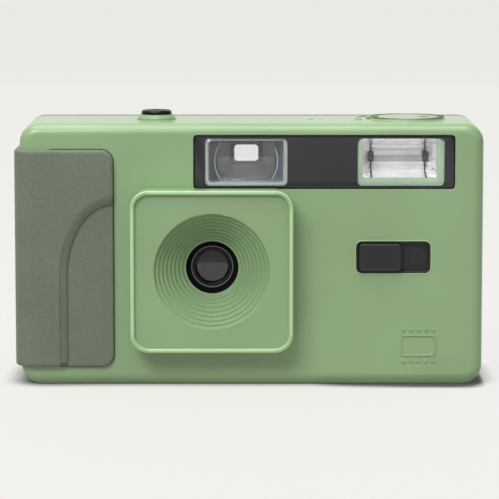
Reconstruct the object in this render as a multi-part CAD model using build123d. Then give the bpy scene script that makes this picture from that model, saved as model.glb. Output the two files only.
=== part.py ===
from build123d import *
import math
import os

# Compact reusable 35 mm film camera with a fixed wide lens and a built-in flash.
# Millimetres. +Z is up, the lens looks along -Y, and +X is to the right seen from the front.
# The origin is on the base, under the middle of the case.
# The film sets the size. The case's width is built up from its left side over the take-up
# chamber, the picture gate, the battery bay and the cartridge chamber, and its height from
# the base over the cartridge, the deck and the winding wheel. Its depth is built up from the
# front over the cartridge chamber to the film and the door.

# Walls, edges and seams of the case
DOOR_DEPTH = 4.5
WALL = 1.8
FRONT_WALL = 2.2
CORNER_R = 4.6
FRONT_EDGE_R = 2.8
BACK_EDGE_R = 2.0
SEAM = 0.2

# Fits
RUN_FIT = 0.06
SEAT_FIT = 0.05
SLIDE_GAP = 0.25

# Film: its picture, its holes and its cartridge
GATE_WIDTH = 36.0
GATE_HEIGHT = 24.0
PERFORATION_DZ = 14.2
PERFORATION_PITCH = 4.75
CARTRIDGE_R = 12.5
CARTRIDGE_BODY = 43.3
CHAMBER_GAP = 0.5
FILM_TO_BACK = 4.3

# Walls of the chassis
CHASSIS_WALL = 1.2
RAIL_THICK = 1.6
FLOOR_THICK = 1.2
DECK_THICK = 1.0
BULKHEAD_THICK = 1.4
TUNNEL_WALL = 1.0
THROAT_WIDTH = 11.0
THROAT_HEIGHT = 8.0

# Rooms along the width, from the left side to the right, and the width that they add up to
LEFT_ROOM = 4.3
TAKEUP_R = 9.9
SPROCKET_ROOM = 5.15
BAY_GAP = 1.35
BAY_ROOM = 0.4
CELL_R = 5.2
CHAMBER_NEXT = 0.3
RIGHT_ROOM = 4.1
CHAMBER_R = CARTRIDGE_R + CHAMBER_GAP
BAY_HALF = CELL_R + BAY_ROOM + CHASSIS_WALL
CASE_WIDTH = (LEFT_ROOM + 2 * TAKEUP_R + SPROCKET_ROOM + GATE_WIDTH + TUNNEL_WALL + BAY_GAP
              + 2 * BAY_HALF + CHAMBER_NEXT + 2 * (CHAMBER_R + CHASSIS_WALL) + RIGHT_ROOM)
HALF = CASE_WIDTH / 2
SPOOL_X = -HALF + LEFT_ROOM + TAKEUP_R
GATE_LEFT = SPOOL_X + TAKEUP_R + SPROCKET_ROOM
GATE_RIGHT = GATE_LEFT + GATE_WIDTH
LENS_X = (GATE_LEFT + GATE_RIGHT) / 2
BAY_LEFT = GATE_RIGHT + TUNNEL_WALL + BAY_GAP
BAY_RIGHT = BAY_LEFT + 2 * BAY_HALF
CELL_X = BAY_LEFT + BAY_HALF
CHAMBER_X = BAY_RIGHT + CHAMBER_NEXT + CHASSIS_WALL + CHAMBER_R
CHASSIS_LEFT = -HALF + WALL + 1.0
CHASSIS_RIGHT = CHAMBER_X + CHAMBER_R + CHASSIS_WALL + 0.3

# Rooms along the height, from the base to the top, and the height that they add up to
FLOOR_ROOM = 1.6
HUB_WELL_DEPTH = 3.2
WHEEL_GAP = 1.2
WHEEL_THICK = 4.8
ROOF_ROOM = 4.8
CHASSIS_BOTTOM = WALL + FLOOR_ROOM
CHAMBER_BOTTOM = CHASSIS_BOTTOM + HUB_WELL_DEPTH
CHAMBER_TOP = CHAMBER_BOTTOM + CARTRIDGE_BODY + 2 * CHAMBER_GAP
LENS_Z = (CHAMBER_BOTTOM + CHAMBER_TOP) / 2
DECK_TOP = CHAMBER_TOP + DECK_THICK
WHEEL_BOTTOM = DECK_TOP + WHEEL_GAP
WHEEL_TOP = WHEEL_BOTTOM + WHEEL_THICK
ROOF = WHEEL_TOP + ROOF_ROOM
CASE_HEIGHT = ROOF + WALL

# Rooms along the depth, from the front to the back, and the depth that they add up to
FRONT_ROOM = 1.9
CHAMBER_DEPTH = 10.4
CASE_DEPTH = FRONT_WALL + FRONT_ROOM + CHASSIS_WALL + CHAMBER_R + CHAMBER_DEPTH + FILM_TO_BACK
CASE_FRONT = -CASE_DEPTH / 2
CASE_BACK = CASE_DEPTH / 2
SHELL_BACK = CASE_BACK - DOOR_DEPTH
SHELL_INNER = CASE_FRONT + FRONT_WALL
FILM_PLANE = CASE_BACK - FILM_TO_BACK
RAIL_FRONT = FILM_PLANE - RAIL_THICK
DOOR_INNER = CASE_BACK - WALL

# Lens panel and its stepped funnel
PANEL_SIZE = 39.8
PANEL_PROUD = 6.4
PANEL_CORNER_R = 4.4
PANEL_RIM = 0.85
PANEL_RIM_HEIGHT = 1.0
PANEL_WALL = 1.2
FUNNEL_R = 14.2
FUNNEL_MOUTH_R = 6.5
FUNNEL_DEPTH = 8.6
FUNNEL_STEPS = 9
FUNNEL_WALL = 1.9
PANEL_FRONT = CASE_FRONT - PANEL_PROUD
PANEL_FACE = PANEL_FRONT + PANEL_RIM_HEIGHT
FUNNEL_BACK = PANEL_FACE + FUNNEL_DEPTH

# Lens, aperture and shutter, one behind the other
BARREL_R = 8.3
BARREL_LENGTH = 4.8
BARREL_MOUTH_DEPTH = 1.8
LENS_R = 4.9
LENS_EDGE = 1.3
LENS_CROWN = 0.7
RING_INNER_R = 4.0
RING_THICK = 0.8
APERTURE_R = 1.6
APERTURE_THICK = 0.4
SHUTTER_ROOM = 2.8
SHUTTER_PLATE_THICK = 1.4
SHUTTER_PLATE_WIDTH = 26.0
SHUTTER_PLATE_HEIGHT = 20.0
BLADE_THICK = 0.4
BLADE_R = 2.6
BLADE_PIVOT_DX = 6.0
BLADE_PIVOT_DZ = 5.5
BLADE_PIVOT_R = 0.8
BLADE_ARM_HALF = 1.1
BLADE_TAB = 7.4
BLADE_TAB_TURN = 28.0
LEG_DX = 10.2
LEG_R = 1.7
BARREL_FRONT = FUNNEL_BACK + SEAM / 2
BARREL_BACK = BARREL_FRONT + BARREL_LENGTH
BULKHEAD_FRONT = BARREL_BACK + SHUTTER_ROOM
BULKHEAD_BACK = BULKHEAD_FRONT + BULKHEAD_THICK
SHUTTER_FRONT = BULKHEAD_FRONT - SHUTTER_PLATE_THICK

# Film path: cartridge chamber, take-up spool and sprocket
HUB_WELL_R = 6.0
SPOOL_DEPTH = 7.0
SPOOL_HUB_R = 4.0
SPOOL_GAP = 1.2
SPOOL_END_GAP = 0.3
FLANGE_THICK = 0.9
AXLE_R = 1.5
SPROCKET_INSET = 2.25
SPROCKET_TEETH = 8
SPROCKET_THICK = 2.0
SPROCKET_AXLE_R = 1.6
TOOTH_HEIGHT = 1.3
CHAMBER_Y = FILM_PLANE - CHAMBER_DEPTH
SPOOL_Y = FILM_PLANE - SPOOL_DEPTH
SPOOL_FLANGE_R = TAKEUP_R - SPOOL_GAP
SPROCKET_R = SPROCKET_TEETH * PERFORATION_PITCH / (2 * math.pi)
SPROCKET_X = GATE_LEFT + SPROCKET_INSET
SPROCKET_Y = FILM_PLANE - SPROCKET_R
SPROCKET_Z = LENS_Z + PERFORATION_DZ - SPROCKET_THICK / 2

# Thumb wheel and frame counter
WHEEL_R = 12.0
WHEEL_NOTCHES = 36
NOTCH_SIZE = 0.8
COUNTER_R = 7.25
COUNTER_HEIGHT = 4.4
COUNTER_WALL = 1.0
COUNTER_FLOOR = 1.2
COUNTER_GAP = 0.2
COUNTER_HALF_WINDOW = 3.0
COUNTER_AXLE_R = 1.2
CAM_R = 2.2
COUNTER_LOW = WHEEL_BOTTOM + COUNTER_GAP
COUNTER_Y = DOOR_INNER - SLIDE_GAP - COUNTER_R
COUNTER_REACH = COUNTER_R + CAM_R + COUNTER_GAP
COUNTER_X = SPROCKET_X + math.sqrt(COUNTER_REACH ** 2 - (COUNTER_Y - SPROCKET_Y) ** 2)

# Window strip, viewfinder and flash
STRIP_FROM_LENS = 4.45
STRIP_FROM_SIDE = 7.2
STRIP_FROM_TOP = 2.8
STRIP_HEIGHT = 13.1
STRIP_THICK = 1.2
STRIP_SUNK = 0.15
STRIP_LEFT = LENS_X - STRIP_FROM_LENS
STRIP_RIGHT = HALF - STRIP_FROM_SIDE
STRIP_TOP = CASE_HEIGHT - STRIP_FROM_TOP
STRIP_BOTTOM = STRIP_TOP - STRIP_HEIGHT
POCKET_FLOOR = CASE_FRONT + STRIP_THICK
WINDOW_EDGE = 0.7
WINDOW_PROUD = 0.2
WINDOW_TOP = STRIP_TOP - WINDOW_EDGE
WINDOW_BOTTOM = STRIP_BOTTOM + WINDOW_EDGE
WINDOW_CZ = (WINDOW_BOTTOM + WINDOW_TOP) / 2
FINDER_INSET = 2.7
FINDER_WIDTH = 20.3
FINDER_FRAME = 1.0
FINDER_WALL = 0.8
FINDER_LEFT = STRIP_LEFT + FINDER_INSET
FINDER_RIGHT = FINDER_LEFT + FINDER_WIDTH
FINDER_X = (FINDER_LEFT + FINDER_RIGHT) / 2
MOUTH_WIDTH = FINDER_WIDTH - 2 * FINDER_FRAME
MOUTH_HEIGHT = WINDOW_TOP - WINDOW_BOTTOM - 1.7 * FINDER_FRAME
OBJECTIVE_SIDE = 1.2
OBJECTIVE_EDGE = 1.1
OBJECTIVE_SET = 0.6
OBJECTIVE_THICK = 1.6
OBJECTIVE_DISH = 0.5
OBJECTIVE_R = 20.3
EYE_DROP = 0.7
EYE_WIDTH = 6.1
EYE_HEIGHT = 4.3
EYEPIECE_WIDTH = 9.6
EYEPIECE_HEIGHT = 6.6
EYE_Z = WINDOW_CZ - EYE_DROP
FLASH_INSET = 2.5
FLASH_WIDTH = 21.4
FLASH_RIGHT = STRIP_RIGHT - FLASH_INSET
FLASH_LEFT = FLASH_RIGHT - FLASH_WIDTH
REFLECTOR_LEFT = FLASH_LEFT + 1.0
REFLECTOR_RIGHT = FLASH_RIGHT - 1.8
REFLECTOR_BOTTOM = WINDOW_BOTTOM + 1.8
REFLECTOR_DEPTH = 7.0
REFLECTOR_BACK_HEIGHT = 3.6
REFLECTOR_SLANT = 2.9
REFLECTOR_WALL = 0.5
FLASH_X = (REFLECTOR_LEFT + REFLECTOR_RIGHT) / 2
FLASH_Z = (REFLECTOR_BOTTOM + WINDOW_TOP) / 2
TUBE_R = 1.4
TUBE_Y = POCKET_FLOOR + REFLECTOR_DEPTH - TUBE_R - 0.4
LAMP_FROM_EYE = 9.2
LAMP_R = 1.5

# Door and rear cover
DOOR_TOP = DECK_TOP - 0.3
STEP_DROP = 2.4
STEP_MARGIN = 1.5
STEP_Z = DOOR_TOP - STEP_DROP
STEP_LEFT = FINDER_LEFT - STEP_MARGIN
STEP_RIGHT = FINDER_RIGHT + STEP_MARGIN
STEP_GAP = 0.4
HINGE_R = 2.2
HINGE_PIN_R = 0.9
HINGE_LUG = 3.0
PIN_END = 0.7
HINGE_X = -HALF + SEAM + HINGE_R
HINGE_Y = CASE_BACK - HINGE_R - SEAM / 4
HINGE_TOP = STEP_Z - 2.0
PRESSURE_HALF_HEIGHT = 12.4
PRESSURE_OVER = 2.75
PRESSURE_GAP = 0.3
PRESSURE_THICK = 1.0
PRESSURE_EAR = 4.4
PRESSURE_EAR_HALF = 3.0
PRESSURE_CORNER_R = 1.5
SPRING_RISE = 0.3
SPRING_THICK = 0.2
SPRING_HALF = 13.0
SPRING_HEIGHT = 4.0
GUIDE_R = 1.2
PRESSURE_LEFT = GATE_LEFT - PRESSURE_OVER
PRESSURE_RIGHT = GATE_RIGHT + PRESSURE_OVER
FILM_WINDOW_WIDTH = 8.0
FILM_WINDOW_HEIGHT = 24.0
FILM_WINDOW_R = 1.5
FILM_WINDOW_X = CHAMBER_X - 1.7
FILM_WINDOW_Z = LENS_Z - 1.75
SEAL_WIDTH = 1.6
SEAL_BOTTOM = 5.0
SEAL_SUNK = 0.15
DOOR_RIB_FROM_GATE = 6.0
DOOR_RIB = 0.7
DOOR_RIB_HALF = 0.5
PANE_INSET = 0.4

# Door latch in the right side
LATCH_TRAVEL = 3.0
LATCH_HEIGHT = 12.0
LATCH_DEPTH = 5.0
LATCH_RIDGES = 4
TRACK_DEPTH = 0.9
TONGUE_DEPTH = 1.8
TONGUE_INSET = 2.3
HOOK_HEIGHT = 1.4
LATCH_FROM_DOOR = 7.4
RIDGE_MARGIN = 2.0
RIDGE_HALF = 0.4
RIDGE_PROUD = 0.5
LATCH_UNDER_LENS = 6.75
LATCH_BOTTOM = LENS_Z - LATCH_UNDER_LENS
LATCH_TOP = LATCH_BOTTOM + LATCH_HEIGHT
LATCH_FRONT = SHELL_BACK - LATCH_FROM_DOOR
TONGUE_FRONT = LATCH_FRONT + (LATCH_DEPTH - TONGUE_DEPTH) / 2 + SEAM
HOOK_TOP = LATCH_BOTTOM + TONGUE_INSET + HOOK_HEIGHT
HOOK_BACK = SHELL_BACK - 0.4
CATCH_GAP = 0.3
CATCH_THICK = 1.4
CATCH_HEIGHT = 7.0
CATCH_BOTTOM = HOOK_TOP + CATCH_GAP
CATCH_TOP = CATCH_BOTTOM + CATCH_HEIGHT

# Shutter button and release lever
BUTTON_FROM_LENS = 14.05
BUTTON_Y = 0.3
BUTTON_R = 3.8
BUTTON_PROUD = 2.3
BUTTON_DISH = 0.55
BUTTON_DISH_R = 12.0
COLLAR_R = 4.9
COLLAR_HEIGHT = 1.2
COLLAR_SEAT = 0.6
COLLAR_SLEEVE = 2.2
LEVER_THICK = 1.5
LEVER_PIN_R = 1.0
LEVER_EYE_R = 2.0
LEVER_REACH = 6.8
LEVER_HALF = 1.1
LEVER_FOOT = 1.0
TAIL_HALF = 0.9
TAIL_FROM_LENS = 3.4
TAIL_OVER_PLATE = 1.9
BUTTON_X = LENS_X - BUTTON_FROM_LENS
LEVER_X = BUTTON_X + LEVER_REACH
LEVER_Z = WHEEL_TOP - 2.4
LEVER_BACK = BULKHEAD_FRONT - SEAM
LEVER_FRONT = LEVER_BACK - LEVER_THICK

# Rewind knob in its well, its crank, shaft and bush
KNOB_R = 9.75
KNOB_PROUD = 0.5
KNOB_THICK = 3.1
KNOB_GAP = 0.25
KNOB_EDGE = 0.5
WELL_WALL = 1.0
WELL_FLOOR_THICK = 1.3
SHAFT_R = 2.5
SHAFT_NECK_R = 1.6
SHAFT_COLLAR = 0.9
NECK_LENGTH = 0.85
FORK_LENGTH = 4.6
FORK_HALF = 0.7
BUSH_R = 4.0
BUSH_HEIGHT = 1.8
BUSH_LIFT = 0.9
BUSH_GAP = 0.1
BUSH_COLLAR_THICK = 0.7
CRANK_THICK = 1.2
CRANK_WIDTH = 6.0
CRANK_SIDE_GAP = 0.2
CRANK_FLOOR_GAP = 0.15
CRANK_PIVOT = 6.4
CRANK_PIN_R = 0.45
CRANK_PIN_OVER = 0.6
HANDLE_R = 2.4
HANDLE_NECK_R = 1.4
HANDLE_LENGTH = 2.3
KNOB_TOP = CASE_HEIGHT + KNOB_PROUD
KNOB_BOTTOM = KNOB_TOP - KNOB_THICK
WELL_FLOOR = KNOB_BOTTOM - SEAM
WELL_BOTTOM = WELL_FLOOR - WELL_FLOOR_THICK
BUSH_LOW = DECK_TOP + BUSH_LIFT
BUSH_HIGH = BUSH_LOW + BUSH_HEIGHT
CRANK_Z = KNOB_TOP - CRANK_THICK / 2
CRANK_LOW = CRANK_Z - CRANK_THICK / 2
CRANK_END = CRANK_PIVOT - CRANK_WIDTH / 2 + 1.2

# Flash switch on the front
SWITCH_FROM_SIDE = 13.0
SWITCH_WIDTH = 18.3
SWITCH_HEIGHT = 7.9
SWITCH_RISE = 6.85
SWITCH_RECESS = 1.2
SWITCH_CORNER_R = 1.4
TRAY_WALL = 0.45
TRAY_BACK = 0.6
TRAY_FLANGE = 1.2
SLIDER_WIDTH = 10.5
SLIDER_PROUD = 0.9
SLIDER_SIDE_GAP = 0.1
SLIDER_EDGE_R = 0.35
MARK_R = 2.35
SWITCH_RIGHT = HALF - SWITCH_FROM_SIDE
SWITCH_LEFT = SWITCH_RIGHT - SWITCH_WIDTH
SWITCH_TOP = LENS_Z + SWITCH_RISE
SWITCH_BOTTOM = SWITCH_TOP - SWITCH_HEIGHT

# Grip pad round the left end
GRIP_WIDTH = 23.0
GRIP_FROM_TOP = 6.3
GRIP_BOTTOM = 4.6
GRIP_BACK_DEPTH = 8.5
GRIP_SIDE_PROUD = 1.4
GRIP_FRONT_PROUD = 1.7
GRIP_CORNER_R = 3.0
GRIP_EDGE_R = 0.7
GRIP_RECESS = 0.9
GRIP_RECESS_WIDTH = 13.0
GRIP_RECESS_DROP = 11.9
GRIP_RECESS_CURVE = 19.3
GRIP_RIGHT = -HALF + GRIP_WIDTH
GRIP_TOP = CASE_HEIGHT - GRIP_FROM_TOP
GRIP_BACK = CASE_BACK - GRIP_BACK_DEPTH
GRIP_RECESS_TOP = GRIP_TOP - GRIP_RECESS_DROP
GRIP_RECESS_SPRING = GRIP_RECESS_TOP - GRIP_RECESS_CURVE

# Battery in its bay between the light tunnel and the cartridge chamber
CELL_FROM_FLOOR = 2.2
CELL_FROM_ROOF = 1.3
CELL_SET_BACK = 2.0
CELL_NIB = 0.8
CELL_NIB_R = 1.9
LID_HALF = 6.0
LID_HINGE_R = 0.8
LID_PIN_R = 0.35
LID_GROOVES = 4
CONTACT_THICK = 0.3
CONTACT_HALF = 2.5
CONTACT_FRONT = 3.5
CONTACT_BACK = 4.4
CONTACT_NIB_HALF = 1.5
CONTACT_NIB_DEPTH = 2.0
CELL_BOTTOM = CHASSIS_BOTTOM + CELL_FROM_FLOOR
CELL_TOP = CHAMBER_TOP - CELL_FROM_ROOF
CELL_Y = BULKHEAD_BACK - CELL_SET_BACK
BAY_FRONT = CELL_Y - CELL_R + 1.0
LID_HINGE_Y = CELL_Y + LID_HALF + LID_HINGE_R

# Small parts
SCREW_R = 0.9
SCREW_HEAD_R = 2.1
SCREW_HEAD = 0.9
SCREW_SUNK = 0.4
SCREW_LENGTH = 6.5
SCREW_STAND = 1.8
BOSS_R = 2.2
BOSS_ROOF = 1.5
RELEASE_R = 2.2
RELEASE_FLANGE = 0.7
RELEASE_FLANGE_THICK = 0.25
RELEASE_STEM_R = 1.2
RELEASE_STEM = 3.0
STRAP_DEPTH = 3.4
STRAP_WALL = 1.2
STRAP_BAR_R = 0.7
STRAP_FROM_TOP = 5.5
STRAP_HEIGHT = 7.0
STRAP_FRONT = -4.4
STRAP_BACK = 0.2
STRAP_TOP = CASE_HEIGHT - STRAP_FROM_TOP
STRAP_BOTTOM = STRAP_TOP - STRAP_HEIGHT
CAPACITOR_R = 4.0
CAPACITOR_LENGTH = 26.0
BOARD_THICK = 1.0
BOARD_LEFT_GAP = 2.0
BOARD_RIGHT_GAP = 2.4
BOARD_SET = 0.6
TRANSFORMER_FROM_BAY = 3.0
TRANSFORMER_OVER_DECK = 1.0
TRANSFORMER_WIDTH = 7.0
TRANSFORMER_DEPTH = 5.0
TRANSFORMER_HEIGHT = 6.4
TRANSFORMER_FLANGE = 1.2
BOBBIN_DEPTH = 4.2
CAPACITOR_FROM_LENS = 7.5
POST_LEFT = 4.0
POST_RIGHT = 13.0
CAPACITOR_X = LENS_X - CAPACITOR_FROM_LENS
CAPACITOR_Y = BULKHEAD_BACK + CAPACITOR_R + BAY_ROOM
CAPACITOR_Z = LENS_Z + PERFORATION_DZ + 1.0
DIMPLE_R = 2.0
DIMPLE_DEPTH = 0.5
DIMPLE_X = CELL_X - 1.6
DIMPLE_Y = -1.7
CUT = 1.0


def block(x0, x1, y0, y1, z0, z1):
    """A block between two corners."""
    centre = Pos((x0 + x1) / 2, (y0 + y1) / 2, (z0 + z1) / 2)
    return centre * Box(x1 - x0, y1 - y0, z1 - z0)


def rod_x(x0, x1, y, z, r):
    """A round bar along X."""
    return Pos((x0 + x1) / 2, y, z) * Rot(0, 90, 0) * Cylinder(r, x1 - x0)


def rod_y(x, y0, y1, z, r):
    """A round bar along Y."""
    return Pos(x, (y0 + y1) / 2, z) * Rot(90, 0, 0) * Cylinder(r, y1 - y0)


def rod_z(x, y, z0, z1, r):
    """A round bar along Z."""
    return Pos(x, y, (z0 + z1) / 2) * Cylinder(r, z1 - z0)


def plate(x0, x1, y0, y1, z0, z1, r):
    """A plate across Y whose four corners, seen from the front, are round."""
    centre = Pos((x0 + x1) / 2, y1, (z0 + z1) / 2)
    return extrude(centre * Rot(90, 0, 0) * RectangleRounded(x1 - x0, z1 - z0, r), y1 - y0)


def turned_y(points, x, z):
    """A solid of revolution about a line along Y, from pairs of radius and Y."""
    return Pos(x, 0, z) * revolve(make_face(Polyline(*points, close=True)), Axis.Y)


def turned_z(points, x, y):
    """A solid of revolution about a line along Z, from pairs of radius and Z."""
    outline = Polyline(*[(r, 0, z) for r, z in points], close=True)
    return Pos(x, y, 0) * revolve(make_face(outline), Axis.Z)


def taper(x, z, y0, width0, height0, y1, width1, height1, x1=None, z1=None):
    """A square-cornered funnel between two rectangles across Y."""
    x1 = x if x1 is None else x1
    z1 = z if z1 is None else z1
    near = Pos(x, y0, z) * Rot(90, 0, 0) * Rectangle(width0, height0)
    far = Pos(x1, y1, z1) * Rot(90, 0, 0) * Rectangle(width1, height1)
    return loft([near, far], ruled=True)


def case_form(y0, y1, front_r, back_r):
    """The case's outer form between two depths, with its front or back edge rounded."""
    form = plate(-HALF, HALF, y0, y1, 0, CASE_HEIGHT, CORNER_R)
    if front_r:
        form = fillet(form.faces().sort_by(Axis.Y)[0].edges(), front_r)
    if back_r:
        form = fillet(form.faces().sort_by(Axis.Y)[-1].edges(), back_r)
    return form


def finder_form(grow):
    """The viewfinder's sight, from its mouth behind the window to the eyepiece, grown all round."""
    return taper(FINDER_X, WINDOW_CZ, SHELL_INNER, MOUTH_WIDTH + 2 * grow, MOUTH_HEIGHT + 2 * grow,
                 FILM_PLANE, EYE_WIDTH + 2 * grow, EYE_HEIGHT + 2 * grow, FINDER_X, EYE_Z)


def latch_pocket():
    """The track of the door latch in the right side wall, and its slot through it."""
    low = LATCH_BOTTOM - LATCH_TRAVEL - SLIDE_GAP
    high = LATCH_TOP + SLIDE_GAP
    track = block(HALF - TRACK_DEPTH, HALF + CUT,
                  LATCH_FRONT - SLIDE_GAP, LATCH_FRONT + LATCH_DEPTH + SLIDE_GAP,
                  low, high)
    slot = block(HALF - WALL - CUT, HALF, TONGUE_FRONT - SLIDE_GAP, TONGUE_FRONT + TONGUE_DEPTH + SLIDE_GAP,
                 low + TONGUE_INSET - SLIDE_GAP, high - TONGUE_INSET + SLIDE_GAP)
    return track + slot


def beside(x, y, r, angle):
    """A place for a screw beside a round chamber, at an angle seen from above."""
    reach = r + CHASSIS_WALL + SCREW_STAND
    turn = math.radians(angle)
    return x + reach * math.cos(turn), y + reach * math.sin(turn)


def screw_places():
    """Where the base screws stand, beside the chambers and under the light tunnel."""
    return [beside(SPOOL_X, SPOOL_Y, TAKEUP_R, -130), beside(SPOOL_X, SPOOL_Y, TAKEUP_R, -25),
            (BAY_LEFT - 2 * BOSS_R, CAPACITOR_Y), beside(CHAMBER_X, CHAMBER_Y, CHAMBER_R, -39)]


def front_shell():
    """Front, top, sides and base in one moulding, with its pockets, windows and bosses."""
    shell = case_form(CASE_FRONT, SHELL_BACK, FRONT_EDGE_R, 0)
    shell -= plate(-HALF + WALL, HALF - WALL, SHELL_INNER, SHELL_BACK + CUT, WALL, ROOF, CORNER_R - WALL)
    shell -= rod_z(CHAMBER_X, CHAMBER_Y, ROOF - CUT, CASE_HEIGHT + CUT, KNOB_R + KNOB_GAP)
    bearing = rod_z(SPOOL_X, SPOOL_Y, WHEEL_TOP + SEAM, ROOF, 2 * AXLE_R)
    shell += bearing - rod_z(SPOOL_X, SPOOL_Y, WHEEL_TOP, WHEEL_TOP + 2.5, AXLE_R + RUN_FIT)
    rim = SEAM / 2
    shell -= plate(STRIP_LEFT - rim, STRIP_RIGHT + rim, CASE_FRONT - CUT, POCKET_FLOOR,
                   STRIP_BOTTOM - rim, STRIP_TOP + rim, 0.9)
    shell -= block(FINDER_X - MOUTH_WIDTH / 2, FINDER_X + MOUTH_WIDTH / 2, CASE_FRONT, SHELL_INNER + CUT,
                   WINDOW_CZ - MOUTH_HEIGHT / 2, WINDOW_CZ + MOUTH_HEIGHT / 2)
    shell -= block(REFLECTOR_LEFT, REFLECTOR_RIGHT, CASE_FRONT, SHELL_INNER + CUT,
                   REFLECTOR_BOTTOM, WINDOW_TOP)
    shell -= rod_y(LENS_X, CASE_FRONT - CUT, SHELL_INNER + CUT, LENS_Z,
                   funnel_outer_r(CASE_FRONT) + SLIDE_GAP)
    shell -= plate(SWITCH_LEFT, SWITCH_RIGHT, CASE_FRONT - CUT, SHELL_INNER + CUT, SWITCH_BOTTOM, SWITCH_TOP,
                   SWITCH_CORNER_R)
    shell -= rod_z(BUTTON_X, BUTTON_Y, ROOF - CUT, CASE_HEIGHT + CUT, COLLAR_R - COLLAR_SEAT)
    shell -= turned_z([(0, CASE_HEIGHT - DIMPLE_DEPTH), (DIMPLE_R - DIMPLE_DEPTH, CASE_HEIGHT - DIMPLE_DEPTH),
                       (DIMPLE_R, CASE_HEIGHT), (DIMPLE_R, CASE_HEIGHT + CUT), (0, CASE_HEIGHT + CUT)],
                      DIMPLE_X, DIMPLE_Y)
    shell -= block(CELL_X - LID_HALF - SEAM, CELL_X + LID_HALF + SEAM, CELL_Y - LID_HALF - SEAM,
                   LID_HINGE_Y + LID_HINGE_R + SEAM, -CUT, WALL + CUT)
    shell -= lid_pin(LID_PIN_R + RUN_FIT, SEAM)
    shell -= rod_z(SPROCKET_X, SPROCKET_Y, -CUT, WALL + CUT, RELEASE_R + RUN_FIT)
    for x, y in screw_places():
        shell -= rod_z(x, y, -CUT, WALL + CUT, SCREW_R + SEAT_FIT)
        shell -= rod_z(x, y, -CUT, SCREW_HEAD + SCREW_SUNK, SCREW_HEAD_R + SEAT_FIT)
    shell -= latch_pocket()
    shell += block(HALF - STRAP_DEPTH - STRAP_WALL, HALF - WALL / 2, STRAP_FRONT - STRAP_WALL,
                   STRAP_BACK + STRAP_WALL, STRAP_BOTTOM - STRAP_WALL, STRAP_TOP + STRAP_WALL)
    shell -= block(HALF - STRAP_DEPTH, HALF + CUT, STRAP_FRONT, STRAP_BACK, STRAP_BOTTOM, STRAP_TOP)
    lug = rod_z(HINGE_X, HINGE_Y, 0, HINGE_LUG, HINGE_R)
    lug += block(HINGE_X - HINGE_R, HINGE_X + HINGE_R, SHELL_BACK - WALL, HINGE_Y, 0, HINGE_LUG)
    lug -= rod_z(HINGE_X, HINGE_Y, PIN_END - SEAM / 2, HINGE_LUG + CUT, HINGE_PIN_R + SEAT_FIT)
    lug &= plate(-HALF, HALF, SHELL_BACK - WALL, CASE_BACK, 0, CASE_HEIGHT, CORNER_R)
    return shell + lug


def rewind_well():
    """The cup under the top that the rewind knob sits in, with the bore for its shaft."""
    cup = rod_z(CHAMBER_X, CHAMBER_Y, WELL_BOTTOM, ROOF, KNOB_R + KNOB_GAP + WELL_WALL)
    cup -= rod_z(CHAMBER_X, CHAMBER_Y, WELL_FLOOR, ROOF + CUT, KNOB_R + KNOB_GAP)
    return cup - rod_z(CHAMBER_X, CHAMBER_Y, WELL_BOTTOM - CUT, WELL_FLOOR + CUT, SHAFT_R + RUN_FIT)


def funnel_outer_r(y):
    """The funnel's outer radius at a depth."""
    share = (y - PANEL_FACE) / FUNNEL_DEPTH
    return FUNNEL_R + FUNNEL_WALL - share * (FUNNEL_R - FUNNEL_MOUTH_R)


def lens_panel():
    """The raised rounded square, hollow behind, with the round funnel that steps down to the lens."""
    half = PANEL_SIZE / 2
    left, right, low, high = LENS_X - half, LENS_X + half, LENS_Z - half, LENS_Z + half
    panel = plate(left, right, PANEL_FRONT, CASE_FRONT, low, high, PANEL_CORNER_R)
    panel = fillet(panel.faces().sort_by(Axis.Y)[0].edges(), PANEL_RIM / 3)
    panel -= plate(left + PANEL_RIM, right - PANEL_RIM, PANEL_FRONT - CUT, PANEL_FACE,
                   low + PANEL_RIM, high - PANEL_RIM, PANEL_CORNER_R - PANEL_RIM)
    panel -= plate(left + PANEL_WALL, right - PANEL_WALL, PANEL_FACE + PANEL_WALL, CASE_FRONT + CUT,
                   low + PANEL_WALL, high - PANEL_WALL, PANEL_CORNER_R - PANEL_WALL)
    step_r = (FUNNEL_R - FUNNEL_MOUTH_R) / FUNNEL_STEPS
    step_y = FUNNEL_DEPTH / FUNNEL_STEPS
    outline = [(0, PANEL_FRONT), (FUNNEL_R, PANEL_FRONT), (FUNNEL_R, PANEL_FACE)]
    for i in range(1, FUNNEL_STEPS + 1):
        outline.append((FUNNEL_R - (i - 1) * step_r, PANEL_FACE + i * step_y))
        outline.append((FUNNEL_R - i * step_r, PANEL_FACE + i * step_y))
    bore = turned_y(outline + [(0, FUNNEL_BACK)], LENS_X, LENS_Z)
    cone = turned_y([(0, PANEL_FACE), (funnel_outer_r(PANEL_FACE), PANEL_FACE),
                     (funnel_outer_r(FUNNEL_BACK), FUNNEL_BACK), (0, FUNNEL_BACK)], LENS_X, LENS_Z)
    return panel + cone - bore


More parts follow.
